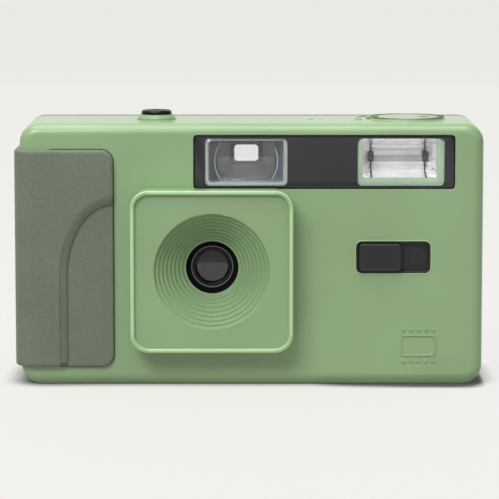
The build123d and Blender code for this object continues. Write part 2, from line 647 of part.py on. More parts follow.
def lens_barrel():
    """The black tube behind the funnel, with its seat for the lens, its flange and two legs."""
    seat = BARREL_FRONT + BARREL_MOUTH_DEPTH
    stop = seat + RING_THICK + LENS_EDGE + SEAT_FIT
    sight = RING_INNER_R - RING_THICK
    tube = turned_y([(sight, BARREL_BACK), (BARREL_R, BARREL_BACK), (BARREL_R, BARREL_FRONT),
                     (FUNNEL_MOUTH_R - SEAM / 2, BARREL_FRONT), (FUNNEL_MOUTH_R - 2 * SEAM, seat),
                     (LENS_R + SEAT_FIT, seat), (LENS_R + SEAT_FIT, stop), (sight, stop)], LENS_X, LENS_Z)
    half = LEG_DX + LEG_R
    flange = plate(LENS_X - half, LENS_X + half, BARREL_BACK - 1.0, BARREL_BACK,
                   LENS_Z - 2 * LEG_R, LENS_Z + 2 * LEG_R, 3.0)
    tube += flange - rod_y(LENS_X, BARREL_BACK - 2.0, BARREL_BACK + CUT, LENS_Z, BARREL_R - 0.5)
    for side in (-1, 1):
        tube += rod_y(LENS_X + side * LEG_DX, BARREL_BACK, SHUTTER_FRONT, LENS_Z, LEG_R)
    return tube


def lens_retaining_ring():
    """The grey ring that traps the lens, with a bevel down to the glass."""
    front = BARREL_FRONT + BARREL_MOUTH_DEPTH - 0.1
    return turned_y([(LENS_R, front), (LENS_R, front + RING_THICK), (RING_INNER_R, front + RING_THICK),
                     (RING_INNER_R, front + RING_THICK - 0.2), (RING_INNER_R + 0.5, front)], LENS_X, LENS_Z)


def lens_element():
    """The crowned glass lens."""
    front = BARREL_FRONT + BARREL_MOUTH_DEPTH - 0.1 + RING_THICK
    crown_r = RING_INNER_R - 0.1
    ball_r = (crown_r ** 2 + LENS_CROWN ** 2) / (2 * LENS_CROWN)
    ball = Pos(LENS_X, front - LENS_CROWN + ball_r, LENS_Z) * Sphere(ball_r)
    crown = ball & rod_y(LENS_X, front - LENS_CROWN - 1, front + LENS_EDGE / 2, LENS_Z, crown_r)
    return crown + rod_y(LENS_X, front, front + LENS_EDGE, LENS_Z, LENS_R - SEAT_FIT)


def aperture_plate():
    """The thin disc with the stop in it, on the barrel's back."""
    disc = rod_y(LENS_X, BARREL_BACK, BARREL_BACK + APERTURE_THICK, LENS_Z, BARREL_R - 2)
    return disc - rod_y(LENS_X, BARREL_BACK - 1, BARREL_BACK + 1, LENS_Z, APERTURE_R)


def shutter_plate():
    """The plate on the bulkhead that carries the blade's pivot."""
    half = SHUTTER_PLATE_WIDTH / 2
    high = SHUTTER_PLATE_HEIGHT / 2
    base = plate(LENS_X - half, LENS_X + half, SHUTTER_FRONT, BULKHEAD_FRONT, LENS_Z - high, LENS_Z + high, 2)
    base -= rod_y(LENS_X, SHUTTER_FRONT - 1, BULKHEAD_FRONT + 1, LENS_Z, APERTURE_R * 2)
    pin_y = SHUTTER_FRONT - BLADE_THICK - 0.5
    return base + rod_y(LENS_X + BLADE_PIVOT_DX, pin_y, SHUTTER_FRONT, LENS_Z + BLADE_PIVOT_DZ, BLADE_PIVOT_R)


def shutter_blade():
    """The thin blade that covers the stop, with its eye and the tab that the lever kicks."""
    back = SHUTTER_FRONT - SEAM
    front = back - BLADE_THICK
    pivot = Pos(LENS_X + BLADE_PIVOT_DX, 0, LENS_Z + BLADE_PIVOT_DZ)
    reach = math.hypot(BLADE_PIVOT_DX, BLADE_PIVOT_DZ)
    angle = math.degrees(math.atan2(BLADE_PIVOT_DX, BLADE_PIVOT_DZ))
    arm = pivot * Rot(0, angle, 0) * block(-BLADE_ARM_HALF, BLADE_ARM_HALF, front, back, -reach, 0)
    tab = pivot * Rot(0, -BLADE_TAB_TURN, 0)
    tab *= block(-BLADE_PIVOT_R, BLADE_PIVOT_R, front, back, 0, BLADE_TAB)
    eye = pivot * rod_y(0, front, back, 0, 2.5 * BLADE_PIVOT_R)
    blade = rod_y(LENS_X, front, back, LENS_Z, BLADE_R) + arm + tab + eye
    return blade - pivot * rod_y(0, front - CUT, back + CUT, 0, BLADE_PIVOT_R + RUN_FIT)


def release_lever():
    """The bell crank between the shutter button's foot and the blade's tab."""
    left = block(BUTTON_X - LEVER_FOOT, LEVER_X, LEVER_FRONT, LEVER_BACK, LEVER_Z - LEVER_HALF,
                 LEVER_Z + LEVER_HALF)
    tail_x = LENS_X - TAIL_FROM_LENS
    tail_z = LENS_Z + SHUTTER_PLATE_HEIGHT / 2 + TAIL_OVER_PLATE
    drop = math.hypot(LEVER_X - tail_x, LEVER_Z - tail_z)
    lean = math.degrees(math.atan2(tail_x - LEVER_X, LEVER_Z - tail_z))
    tail = Pos(LEVER_X, 0, LEVER_Z) * Rot(0, -lean, 0)
    tail *= block(-TAIL_HALF, TAIL_HALF, LEVER_FRONT, LEVER_BACK, -drop, 0)
    lever = left + tail + rod_y(LEVER_X, LEVER_FRONT, LEVER_BACK, LEVER_Z, LEVER_EYE_R)
    return lever - rod_y(LEVER_X, LEVER_FRONT - CUT, LEVER_BACK + CUT, LEVER_Z, LEVER_PIN_R + RUN_FIT)


def tunnel_form(grow):
    """The light's way from the shutter to the picture gate, grown all round."""
    return taper(LENS_X, LENS_Z, BULKHEAD_BACK, THROAT_WIDTH + 2 * grow, THROAT_HEIGHT + 2 * grow,
                 FILM_PLANE, GATE_WIDTH + 2 * grow, GATE_HEIGHT + 2 * grow)


def behind_door_edge():
    """The room that the door, the cover and the hinge take from the chassis."""
    edge = block(-HALF, HALF, SHELL_BACK - SEAM / 2, CASE_BACK, DOOR_TOP - SEAM, CASE_HEIGHT)
    return edge + block(-HALF, HINGE_X + HINGE_R + SEAM, SHELL_BACK - SEAM, CASE_BACK, 0, CASE_HEIGHT)


def strap_room():
    """The room that the shell's strap boss takes from the chassis."""
    grow = STRAP_WALL + SEAM
    return block(HALF - STRAP_DEPTH - grow, HALF, STRAP_FRONT - grow, STRAP_BACK + grow,
                 STRAP_BOTTOM - grow, STRAP_TOP)


def film_rails():
    """The flat frame that the film lies on, open at the picture gate and at both chambers."""
    rails = block(CHASSIS_LEFT, CHASSIS_RIGHT, RAIL_FRONT, FILM_PLANE, CHASSIS_BOTTOM, DECK_TOP)
    rails -= block(STEP_LEFT, STEP_RIGHT, RAIL_FRONT - CUT, FILM_PLANE + CUT,
                   STEP_Z - STEP_GAP, DECK_TOP + CUT)
    rails -= tunnel_form(0)
    for x, r in ((CHAMBER_X, CHAMBER_R), (SPOOL_X, TAKEUP_R)):
        rails -= block(x - r, x + r, RAIL_FRONT - CUT, FILM_PLANE + CUT, CHAMBER_BOTTOM, CHAMBER_TOP)
    rails -= sprocket_room()
    return rails - behind_door_edge() - finder_form(FINDER_WALL + SLIDE_GAP)


def light_tunnel():
    """The four-sided tunnel behind the shutter, with two posts for the flash capacitor."""
    tunnel = tunnel_form(TUNNEL_WALL)
    for x in (LENS_X - POST_LEFT, LENS_X + POST_RIGHT):
        tunnel += block(x - TUNNEL_WALL / 2, x + TUNNEL_WALL / 2,
                        BULKHEAD_BACK, BULKHEAD_BACK + 2 * CAPACITOR_R,
                        LENS_Z + THROAT_HEIGHT / 2, CAPACITOR_Z - 1.0)
    tunnel -= rod_x(CAPACITOR_X - CUT, CAPACITOR_X + CAPACITOR_LENGTH + CUT, CAPACITOR_Y, CAPACITOR_Z,
                    CAPACITOR_R + SEAT_FIT)
    tunnel -= block(-HALF, HALF, RAIL_FRONT, CASE_BACK, 0, CASE_HEIGHT)
    return tunnel - tunnel_form(0) - sprocket_room()


def round_chamber(x, y, r):
    """A round chamber with its floor, open at the back as far as the film rails."""
    chamber = rod_z(x, y, CHASSIS_BOTTOM, CHAMBER_TOP, r + CHASSIS_WALL)
    chamber -= rod_z(x, y, CHAMBER_BOTTOM, CHAMBER_TOP + CUT, r)
    chamber -= block(x - r, x + r, y, CASE_BACK, CHAMBER_BOTTOM, CHAMBER_TOP + CUT)
    chamber -= block(-HALF, HALF, RAIL_FRONT, CASE_BACK, 0, CASE_HEIGHT)
    for screw_x, screw_y in screw_places():
        chamber -= rod_z(screw_x, screw_y, 0, CHASSIS_BOTTOM + SCREW_LENGTH, BOSS_R)
    return chamber - behind_door_edge() - sprocket_room() - strap_room()


def cartridge_chamber():
    """The round chamber that the film cartridge drops into, with the well for its hub."""
    return round_chamber(CHAMBER_X, CHAMBER_Y, CHAMBER_R) - rod_z(
        CHAMBER_X, CHAMBER_Y, CHASSIS_BOTTOM - CUT, CHAMBER_BOTTOM + CUT, HUB_WELL_R)


def takeup_chamber():
    """The round chamber that the take-up spool turns in, with its lower bearing."""
    return round_chamber(SPOOL_X, SPOOL_Y, TAKEUP_R) - rod_z(
        SPOOL_X, SPOOL_Y, CHASSIS_BOTTOM - CUT, CHAMBER_BOTTOM + CUT, AXLE_R + RUN_FIT)


def chassis_deck():
    """The deck over the chambers, in two parts beside the viewfinder, with the shafts' bores."""
    parts = []
    for left, right, x, y, r in ((CHASSIS_LEFT, STEP_LEFT, SPOOL_X, SPOOL_Y, TAKEUP_R),
                                 (BAY_LEFT, CHASSIS_RIGHT, CHAMBER_X, CHAMBER_Y, CHAMBER_R)):
        deck = block(left, right, BULKHEAD_BACK, RAIL_FRONT, CHAMBER_TOP, DECK_TOP)
        deck += rod_z(x, y, CHAMBER_TOP, DECK_TOP, r + CHASSIS_WALL)
        if left == BAY_LEFT:
            deck += block(BAY_LEFT, BAY_RIGHT, BAY_FRONT, BULKHEAD_BACK, CHAMBER_TOP, DECK_TOP)
        deck -= block(-HALF, HALF, RAIL_FRONT, CASE_BACK, 0, CASE_HEIGHT)
        deck -= rod_z(CHAMBER_X, CHAMBER_Y, CHAMBER_TOP - CUT, DECK_TOP + CUT, SHAFT_R + RUN_FIT)
        deck -= rod_z(SPOOL_X, SPOOL_Y, CHAMBER_TOP - CUT, DECK_TOP + CUT, AXLE_R + RUN_FIT)
        deck -= rod_z(SPROCKET_X, SPROCKET_Y, CHAMBER_TOP - CUT, DECK_TOP + CUT, SPROCKET_AXLE_R + RUN_FIT)
        deck -= rod_z(COUNTER_X, COUNTER_Y, CHAMBER_TOP - CUT, DECK_TOP + CUT, COUNTER_AXLE_R + RUN_FIT)
        deck -= strap_room() + finder_form(FINDER_WALL + SLIDE_GAP)
        parts.append(deck.solid())
    return Compound(parts)


def sprocket_room():
    """The room in the chassis for the sprocket and its teeth."""
    return rod_z(SPROCKET_X, SPROCKET_Y, SPROCKET_Z - SLIDE_GAP, SPROCKET_Z + SPROCKET_THICK + SLIDE_GAP,
                 SPROCKET_R + TOOTH_HEIGHT)


def chassis_floor():
    """The floor that ties the chambers together, with the four bosses for the base screws."""
    top = CHASSIS_BOTTOM + FLOOR_THICK
    floor = block(CHASSIS_LEFT, CHASSIS_RIGHT, BULKHEAD_BACK, RAIL_FRONT, CHASSIS_BOTTOM, top)
    for x, y, r in ((CHAMBER_X, CHAMBER_Y, CHAMBER_R), (SPOOL_X, SPOOL_Y, TAKEUP_R)):
        floor -= rod_z(x, y, 0, CASE_HEIGHT, r + CHASSIS_WALL)
    for x, y in screw_places():
        floor += rod_z(x, y, CHASSIS_BOTTOM, CHASSIS_BOTTOM + SCREW_LENGTH, BOSS_R)
    for x, y, r in ((CHAMBER_X, CHAMBER_Y, CHAMBER_R), (SPOOL_X, SPOOL_Y, TAKEUP_R)):
        floor -= rod_z(x, y, CHAMBER_BOTTOM, CASE_HEIGHT, r)
    floor -= rod_z(SPROCKET_X, SPROCKET_Y, CHASSIS_BOTTOM - CUT, top + CUT, RELEASE_STEM_R + RUN_FIT)
    floor -= behind_door_edge() + tunnel_form(TUNNEL_WALL)
    floor -= block(BAY_LEFT, BAY_RIGHT, BAY_FRONT, CELL_Y + BAY_HALF, 0, CASE_HEIGHT)
    for x, y in screw_places():
        floor -= rod_z(x, y, 0, CHASSIS_BOTTOM + SCREW_LENGTH - BOSS_ROOF, SCREW_R + SEAT_FIT)
    return floor


def shutter_bulkhead():
    """The wall that carries the shutter, with the lever's post and the battery bay's walls."""
    wall = block(GATE_LEFT - PRESSURE_OVER, BAY_LEFT, BULKHEAD_FRONT, BULKHEAD_BACK,
                 CHASSIS_BOTTOM, STEP_Z - STEP_GAP)
    wall += block(LEVER_X - 2.6, LEVER_X + 2.2, BULKHEAD_FRONT, BULKHEAD_BACK, STEP_Z - CUT, LEVER_Z + 2.2)
    wall += rod_y(LEVER_X, BULKHEAD_FRONT - LEVER_THICK - 0.5, BULKHEAD_FRONT, LEVER_Z, LEVER_PIN_R)
    bay_back = CELL_Y + BAY_HALF
    wall += block(BAY_LEFT, BAY_LEFT + CHASSIS_WALL, BAY_FRONT, bay_back, CHASSIS_BOTTOM, CHAMBER_TOP)
    wall += block(BAY_LEFT, BAY_RIGHT, bay_back - CHASSIS_WALL, bay_back, CHASSIS_BOTTOM, CHAMBER_TOP)
    wall -= block(LENS_X - THROAT_WIDTH / 2, LENS_X + THROAT_WIDTH / 2,
                  BULKHEAD_FRONT - CUT, BULKHEAD_BACK + CUT,
                  LENS_Z - THROAT_HEIGHT / 2, LENS_Z + THROAT_HEIGHT / 2)
    for x, y, r in ((CHAMBER_X, CHAMBER_Y, CHAMBER_R), (SPOOL_X, SPOOL_Y, TAKEUP_R)):
        wall -= rod_z(x, y, 0, DECK_TOP, r + CHASSIS_WALL)
    return wall - finder_form(FINDER_WALL + SLIDE_GAP)


def flash_capacitor():
    """The flash's electrolytic can, lying on the light tunnel, with its rubber-bung end."""
    can = rod_x(CAPACITOR_X, CAPACITOR_X + CAPACITOR_LENGTH, CAPACITOR_Y, CAPACITOR_Z, CAPACITOR_R)
    groove = rod_x(CAPACITOR_X + 2.0, CAPACITOR_X + 3.0, CAPACITOR_Y, CAPACITOR_Z, CAPACITOR_R + CUT)
    return can - (groove - rod_x(CAPACITOR_X, CAPACITOR_X + 4.0, CAPACITOR_Y, CAPACITOR_Z, CAPACITOR_R - 0.3))


def takeup_spool():
    """The spool that the film winds on, with its slot for the leader, two flanges and its shaft."""
    low = CHAMBER_BOTTOM + SPOOL_END_GAP
    high = CHAMBER_TOP - SPOOL_END_GAP
    root = FLANGE_THICK + 0.5
    spool = turned_z([(0, low), (SPOOL_FLANGE_R, low), (SPOOL_FLANGE_R, low + FLANGE_THICK),
                      (SPOOL_HUB_R, low + root), (SPOOL_HUB_R, high - root),
                      (SPOOL_FLANGE_R, high - FLANGE_THICK), (SPOOL_FLANGE_R, high), (0, high)],
                     SPOOL_X, SPOOL_Y)
    slot = GATE_HEIGHT / 2 + 3.0
    spool -= block(SPOOL_X - 0.6, SPOOL_X + 0.6, SPOOL_Y - SPOOL_HUB_R - CUT, SPOOL_Y + SPOOL_HUB_R + CUT,
                   LENS_Z - slot, LENS_Z + slot)
    spool += rod_z(SPOOL_X, SPOOL_Y, CHASSIS_BOTTOM, low, AXLE_R)
    return spool + rod_z(SPOOL_X, SPOOL_Y, high, WHEEL_BOTTOM, AXLE_R)


def thumb_wheel():
    """The notched wheel at the back that winds the film on."""
    edge = 0.5
    dish = 1.5
    wheel = turned_z([(0, WHEEL_BOTTOM), (WHEEL_R - edge, WHEEL_BOTTOM), (WHEEL_R, WHEEL_BOTTOM + edge),
                      (WHEEL_R, WHEEL_TOP - edge), (WHEEL_R - edge, WHEEL_TOP), (WHEEL_R - 2.5, WHEEL_TOP),
                      (WHEEL_R - 2.5, WHEEL_TOP - dish), (2 * AXLE_R, WHEEL_TOP - dish),
                      (2 * AXLE_R, WHEEL_TOP),
                      (AXLE_R, WHEEL_TOP), (AXLE_R, WHEEL_TOP + 2.0), (0, WHEEL_TOP + 2.0)], SPOOL_X, SPOOL_Y)
    half = NOTCH_SIZE / 2
    notches = []
    for i in range(WHEEL_NOTCHES):
        turn = Pos(SPOOL_X, SPOOL_Y, 0) * Rot(0, 0, 360 * i / WHEEL_NOTCHES)
        notches.append(turn * Pos(WHEEL_R, 0, 0) * Rot(0, 0, 45) * block(
            -half, half, -half, half, WHEEL_BOTTOM - CUT, WHEEL_TOP + CUT))
    return wheel - notches


def film_sprocket():
    """The toothed wheel that the film's holes turn, its shaft and the cam that drives the counter."""
    top = SPROCKET_Z + SPROCKET_THICK
    wheel = rod_z(SPROCKET_X, SPROCKET_Y, SPROCKET_Z, top, SPROCKET_R)
    tip = SPROCKET_R + TOOTH_HEIGHT - 0.3
    outline = Polyline((0, -0.85), (SPROCKET_R, -0.85), (tip, -0.35), (tip, 0.35), (SPROCKET_R, 0.85),
                       (0, 0.85), close=True)
    tooth = extrude(make_face(outline), SPROCKET_THICK - 2 * SEAM)
    for i in range(SPROCKET_TEETH):
        angle = 90 + 360 * i / SPROCKET_TEETH
        wheel += Pos(SPROCKET_X, SPROCKET_Y, SPROCKET_Z + SEAM) * Rot(0, 0, angle) * tooth
    wheel += rod_z(SPROCKET_X, SPROCKET_Y, top, COUNTER_LOW, SPROCKET_AXLE_R)
    return wheel + rod_z(SPROCKET_X, SPROCKET_Y, COUNTER_LOW, COUNTER_LOW + COUNTER_HEIGHT, CAM_R)


def counter_drum():
    """The drum that shows the frame number at the back, on its own shaft."""
    top = COUNTER_LOW + COUNTER_HEIGHT
    floor = COUNTER_LOW + COUNTER_FLOOR
    hub = 1.5 * COUNTER_AXLE_R
    inner = COUNTER_R - COUNTER_WALL
    drum = turned_z([(0, COUNTER_LOW), (COUNTER_R, COUNTER_LOW), (COUNTER_R, top), (inner, top),
                     (inner, floor), (hub, floor), (hub, top), (0, top)], COUNTER_X, COUNTER_Y)
    return drum + rod_z(COUNTER_X, COUNTER_Y, CHAMBER_TOP, COUNTER_LOW, COUNTER_AXLE_R)


def rear_cap():
    """The outer form of everything behind the shell, before it is parted into cover and door."""
    return case_form(SHELL_BACK, CASE_BACK, 0, BACK_EDGE_R)


def eyepiece_form(inset, y0, y1, r):
    """A plate in the eyepiece's place, made smaller all round by an inset."""
    half = EYEPIECE_WIDTH / 2 - inset
    high = EYEPIECE_HEIGHT / 2 - inset
    return plate(FINDER_X - half, FINDER_X + half, y0, y1, EYE_Z - high, EYE_Z + high, r)


def rear_cover():
    """The fixed upper part of the back, with the eyepiece, wheel slot, counter window and upper hinge lug."""
    above = block(-HALF, HALF, SHELL_BACK, CASE_BACK, DOOR_TOP + SEAM / 2, CASE_HEIGHT)
    above += block(STEP_LEFT, STEP_RIGHT, SHELL_BACK, CASE_BACK, STEP_Z + SEAM / 2, CASE_HEIGHT)
    cover = rear_cap() & above
    cover -= block(-HALF + WALL, HALF - WALL, SHELL_BACK - CUT, DOOR_INNER, DOOR_TOP + 1.0, ROOF)
    cover -= block(STEP_LEFT + 1.2, STEP_RIGHT - 1.2, SHELL_BACK - CUT, DOOR_INNER, STEP_Z + 1.2, ROOF)
    cover -= eyepiece_form(0, DOOR_INNER - CUT, CASE_BACK + CUT, 1.0)
    slot = 0.7 * WHEEL_R
    cover -= plate(SPOOL_X - slot, SPOOL_X + slot, SHELL_BACK - CUT, CASE_BACK + CUT, WHEEL_BOTTOM - 0.5,
                   WHEEL_TOP + 0.5, 1.0)
    cover -= block(COUNTER_X - COUNTER_HALF_WINDOW, COUNTER_X + COUNTER_HALF_WINDOW, DOOR_INNER - CUT,
                   CASE_BACK + CUT, COUNTER_LOW, COUNTER_LOW + COUNTER_HEIGHT - SEAM)
    cover -= rod_y(FINDER_X + LAMP_FROM_EYE, DOOR_INNER - CUT, CASE_BACK + CUT, EYE_Z + 1.0,
                   LAMP_R + SEAT_FIT)
    lug = rod_z(HINGE_X, HINGE_Y, HINGE_TOP + SEAM, DOOR_TOP + 1.0, HINGE_R)
    lug += block(HINGE_X - HINGE_R, HINGE_X + HINGE_R, SHELL_BACK, HINGE_Y, HINGE_TOP + SEAM, DOOR_TOP + 1.0)
    lug -= rod_z(HINGE_X, HINGE_Y, 0, DOOR_TOP - PIN_END + SEAM / 2, HINGE_PIN_R + SEAT_FIT)
    return cover + lug


def film_window_form(grow, y0, y1, r):
    """A plate in the film window's place, grown all round."""
    half = FILM_WINDOW_WIDTH / 2 + grow
    high = FILM_WINDOW_HEIGHT / 2 + grow
    return plate(FILM_WINDOW_X - half, FILM_WINDOW_X + half, y0, y1,
                 FILM_WINDOW_Z - high, FILM_WINDOW_Z + high, r)


def guide_places():
    """The X of the two pins that the pressure plate slides on."""
    return PRESSURE_LEFT - 2.0, PRESSURE_RIGHT + 2.0


def back_door():
    """The film door: a ribbed tray with its hinge barrel, film window opening and guide pins."""
    door = rear_cap() & block(-HALF, HALF, SHELL_BACK + SEAM, CASE_BACK, SEAM, DOOR_TOP - SEAM / 2)
    door -= block(STEP_LEFT - SEAM, STEP_RIGHT + SEAM, SHELL_BACK, CASE_BACK + CUT,
                  STEP_Z - SEAM / 2, CASE_HEIGHT)
    door -= block(-HALF - CUT, HINGE_X + HINGE_R + SEAM, SHELL_BACK, CASE_BACK + CUT, -CUT, CASE_HEIGHT)
    hollow = block(-HALF, HALF - WALL, SHELL_BACK, DOOR_INNER, WALL, DOOR_TOP - DECK_THICK)
    hollow += block(-HALF, STEP_LEFT, SHELL_BACK, DOOR_INNER, WALL, DOOR_TOP)
    hollow -= block(STEP_LEFT - 1.3, STEP_RIGHT + 1.3, SHELL_BACK, CASE_BACK, STEP_Z - 1.2, CASE_HEIGHT)
    door -= hollow
    low = HINGE_LUG + SEAM
    door += rod_z(HINGE_X, HINGE_Y, low, HINGE_TOP, HINGE_R)
    door += block(HINGE_X, HINGE_X + HINGE_R + 1.0, DOOR_INNER, CASE_BACK - SEAM / 4, low, HINGE_TOP)
    door -= rod_z(HINGE_X, HINGE_Y, 0, CASE_HEIGHT, HINGE_PIN_R + RUN_FIT)
    door -= film_window_form(0, DOOR_INNER - CUT, CASE_BACK + CUT, FILM_WINDOW_R)
    for x in guide_places():
        door += rod_y(x, FILM_PLANE + 0.7, DOOR_INNER, LENS_Z, GUIDE_R)
    for side in (-1, 1):
        z = LENS_Z + side * (GATE_HEIGHT / 2 + DOOR_RIB_FROM_GATE)
        door += block(SPOOL_X + TAKEUP_R, CHAMBER_X - CHAMBER_R, DOOR_INNER - DOOR_RIB, DOOR_INNER,
                      z - DOOR_RIB_HALF, z + DOOR_RIB_HALF)
    return door


def door_catch():
    """The post inside the door whose ledge the latch's hook comes up under."""
    right = HALF - WALL - SEAM
    post = block(right - CATCH_THICK, right, HOOK_BACK + SEAM, DOOR_INNER, CATCH_BOTTOM, CATCH_TOP)
    return post + block(right - CATCH_THICK, right, TONGUE_FRONT + TONGUE_DEPTH + CATCH_GAP, HOOK_BACK + SEAM,
                        CATCH_BOTTOM, CATCH_BOTTOM + CATCH_THICK)


def hinge_pin():
    """The steel pin of the film door."""
    return rod_z(HINGE_X, HINGE_Y, PIN_END, DOOR_TOP - PIN_END, HINGE_PIN_R)


def film_window():
    """The clear pane that shows whether a film is in."""
    return film_window_form(-SEAT_FIT, DOOR_INNER + PANE_INSET, CASE_BACK - SEAM / 2,
                            FILM_WINDOW_R - SEAT_FIT)


def door_seals():
    """The foam strip beside the hinge and the foam frame round the film window."""
    left = HINGE_X + HINGE_R + 1.2
    strip = block(left, left + SEAL_WIDTH, FILM_PLANE + PRESSURE_GAP + SEAM / 2, DOOR_INNER, SEAL_BOTTOM,
                  HINGE_TOP)
    frame = film_window_form(SEAL_WIDTH, DOOR_INNER - SEAL_SUNK, DOOR_INNER, FILM_WINDOW_R + SEAL_WIDTH)
    frame -= film_window_form(0, DOOR_INNER - CUT, DOOR_INNER + CUT, FILM_WINDOW_R)
    return Compound([strip.solid(), frame.solid()])


def pressure_plate():
    """The plate that holds the film flat, with an ear at each end on the door's guide pins."""
    front = FILM_PLANE + PRESSURE_GAP
    back = front + PRESSURE_THICK
    pad = plate(PRESSURE_LEFT, PRESSURE_RIGHT, front, back, LENS_Z - PRESSURE_HALF_HEIGHT,
                LENS_Z + PRESSURE_HALF_HEIGHT, PRESSURE_CORNER_R)
    pad += plate(PRESSURE_LEFT - PRESSURE_EAR, PRESSURE_RIGHT + PRESSURE_EAR, front + PRESSURE_GAP, back,
                 LENS_Z - PRESSURE_EAR_HALF, LENS_Z + PRESSURE_EAR_HALF, PRESSURE_CORNER_R)
    for x in guide_places():
        pad -= rod_y(x, front - CUT, back + CUT, LENS_Z, GUIDE_R + RUN_FIT)
    return pad


def pressure_spring():
    """The leaf that pushes the pressure plate on to the film, bowed towards the door."""
    front = FILM_PLANE + PRESSURE_GAP + PRESSURE_THICK
    tip = front + SPRING_RISE
    inner = ThreePointArc((-SPRING_HALF, tip), (0, front), (SPRING_HALF, tip))
    outer = ThreePointArc((-SPRING_HALF, tip + SPRING_THICK), (0, front + SPRING_THICK),
                          (SPRING_HALF, tip + SPRING_THICK))
    ends = [Line(inner @ 0, outer @ 0), Line(inner @ 1, outer @ 1)]
    return Pos(LENS_X, 0, LENS_Z - SPRING_HEIGHT / 2) * extrude(make_face([inner, outer] + ends),
                                                                SPRING_HEIGHT)


def door_latch():
    """The sliding latch in the right side, with its finger ridges and its hook inside."""
    slider = block(HALF - TRACK_DEPTH + SEAM / 2, HALF, LATCH_FRONT, LATCH_FRONT + LATCH_DEPTH,
                   LATCH_BOTTOM, LATCH_TOP)
    pitch = (LATCH_HEIGHT - 2 * RIDGE_MARGIN) / LATCH_RIDGES
    for i in range(LATCH_RIDGES):
        z = LATCH_BOTTOM + RIDGE_MARGIN + (i + 0.5) * pitch
        slider += block(HALF, HALF + RIDGE_PROUD, LATCH_FRONT + RIDGE_HALF,
                        LATCH_FRONT + LATCH_DEPTH - RIDGE_HALF, z - RIDGE_HALF, z + RIDGE_HALF)
    low = LATCH_BOTTOM + TONGUE_INSET
    inner = HALF - WALL
    slider += block(inner - 0.6, HALF - TRACK_DEPTH + SEAM / 2, TONGUE_FRONT,
                    TONGUE_FRONT + TONGUE_DEPTH, low, LATCH_TOP - TONGUE_INSET)
    return slider + block(inner - 0.9, inner - 0.1, TONGUE_FRONT, HOOK_BACK, low, HOOK_TOP)


def front_pane(left, right):
    """A clear block between two sides, in its opening of the window strip."""
    return block(left + SEAT_FIT, right - SEAT_FIT, CASE_FRONT - WINDOW_PROUD, POCKET_FLOOR,
                 WINDOW_BOTTOM + SEAT_FIT, WINDOW_TOP - SEAT_FIT)


def viewfinder_window():
    """The clear bevelled block in front of the viewfinder."""
    pane = front_pane(FINDER_LEFT, FINDER_RIGHT)
    return chamfer(pane.faces().sort_by(Axis.Y)[0].edges(), 0.9, 0.5)


def viewfinder_objective():
    """The hollowed front lens of the viewfinder, just inside the tunnel's mouth."""
    half = MOUTH_WIDTH / 2 - OBJECTIVE_SIDE
    high = MOUTH_HEIGHT / 2 - OBJECTIVE_EDGE
    front = SHELL_INNER + OBJECTIVE_SET
    lens = block(FINDER_X - half, FINDER_X + half, front, front + OBJECTIVE_THICK,
                 WINDOW_CZ - high, WINDOW_CZ + high)
    return lens - Pos(FINDER_X, front + OBJECTIVE_DISH - OBJECTIVE_R, WINDOW_CZ) * Sphere(OBJECTIVE_R)


def viewfinder_tunnel():
    """The black box that narrows from the front window to the eyepiece."""
    return finder_form(FINDER_WALL) - finder_form(0)


def eyepiece_window():
    """The clear eyepiece in the rear cover."""
    return eyepiece_form(SEAT_FIT, DOOR_INNER + SEAM, CASE_BACK - 0.5, 0.9)


def window_strip():
    """The dark strip across the front that frames the viewfinder and the flash."""
    strip = plate(STRIP_LEFT, STRIP_RIGHT, CASE_FRONT + STRIP_SUNK, POCKET_FLOOR,
                  STRIP_BOTTOM, STRIP_TOP, 0.8)
    for left, right in ((FINDER_LEFT, FINDER_RIGHT), (FLASH_LEFT, FLASH_RIGHT)):
        strip -= block(left, right, CASE_FRONT - CUT, POCKET_FLOOR + CUT, WINDOW_BOTTOM, WINDOW_TOP)
    return strip


def flash_window():
    """The clear pane of the flash."""
    pane = front_pane(FLASH_LEFT, FLASH_RIGHT)
    return chamfer(pane.faces().sort_by(Axis.Y)[0].edges(), 0.5)


def reflector_form(grow):
    """The reflector's flared form: a wide mouth that narrows on all four sides."""
    inset = SEAT_FIT + REFLECTOR_WALL
    width = REFLECTOR_RIGHT - REFLECTOR_LEFT - 2 * inset
    height = WINDOW_TOP - REFLECTOR_BOTTOM - 2 * inset
    return taper(FLASH_X, FLASH_Z, POCKET_FLOOR, width + 2 * grow, height + 2 * grow,
                 POCKET_FLOOR + REFLECTOR_DEPTH + grow / 2, width - 2 * REFLECTOR_SLANT + 2 * grow,
                 REFLECTOR_BACK_HEIGHT + 2 * grow)


def flash_reflector():
    """The bright trough behind the flash window, with a hole in each end for the tube."""
    inner = reflector_form(0) - block(-HALF, HALF, POCKET_FLOOR + REFLECTOR_DEPTH, CASE_BACK, 0, CASE_HEIGHT)
    dish = reflector_form(REFLECTOR_WALL) - inner
    return dish - rod_x(FLASH_LEFT, FLASH_RIGHT, TUBE_Y, FLASH_Z, TUBE_R + SEAT_FIT)


def flash_tube():
    """The glass tube of the flash with its two end caps."""
    half = (REFLECTOR_RIGHT - REFLECTOR_LEFT) / 2 - 0.6
    glass = rod_x(FLASH_X - half, FLASH_X + half, TUBE_Y, FLASH_Z, TUBE_R)
    return glass + rod_x(FLASH_X - half - 0.8, FLASH_X + half + 0.8, TUBE_Y, FLASH_Z, 0.5)


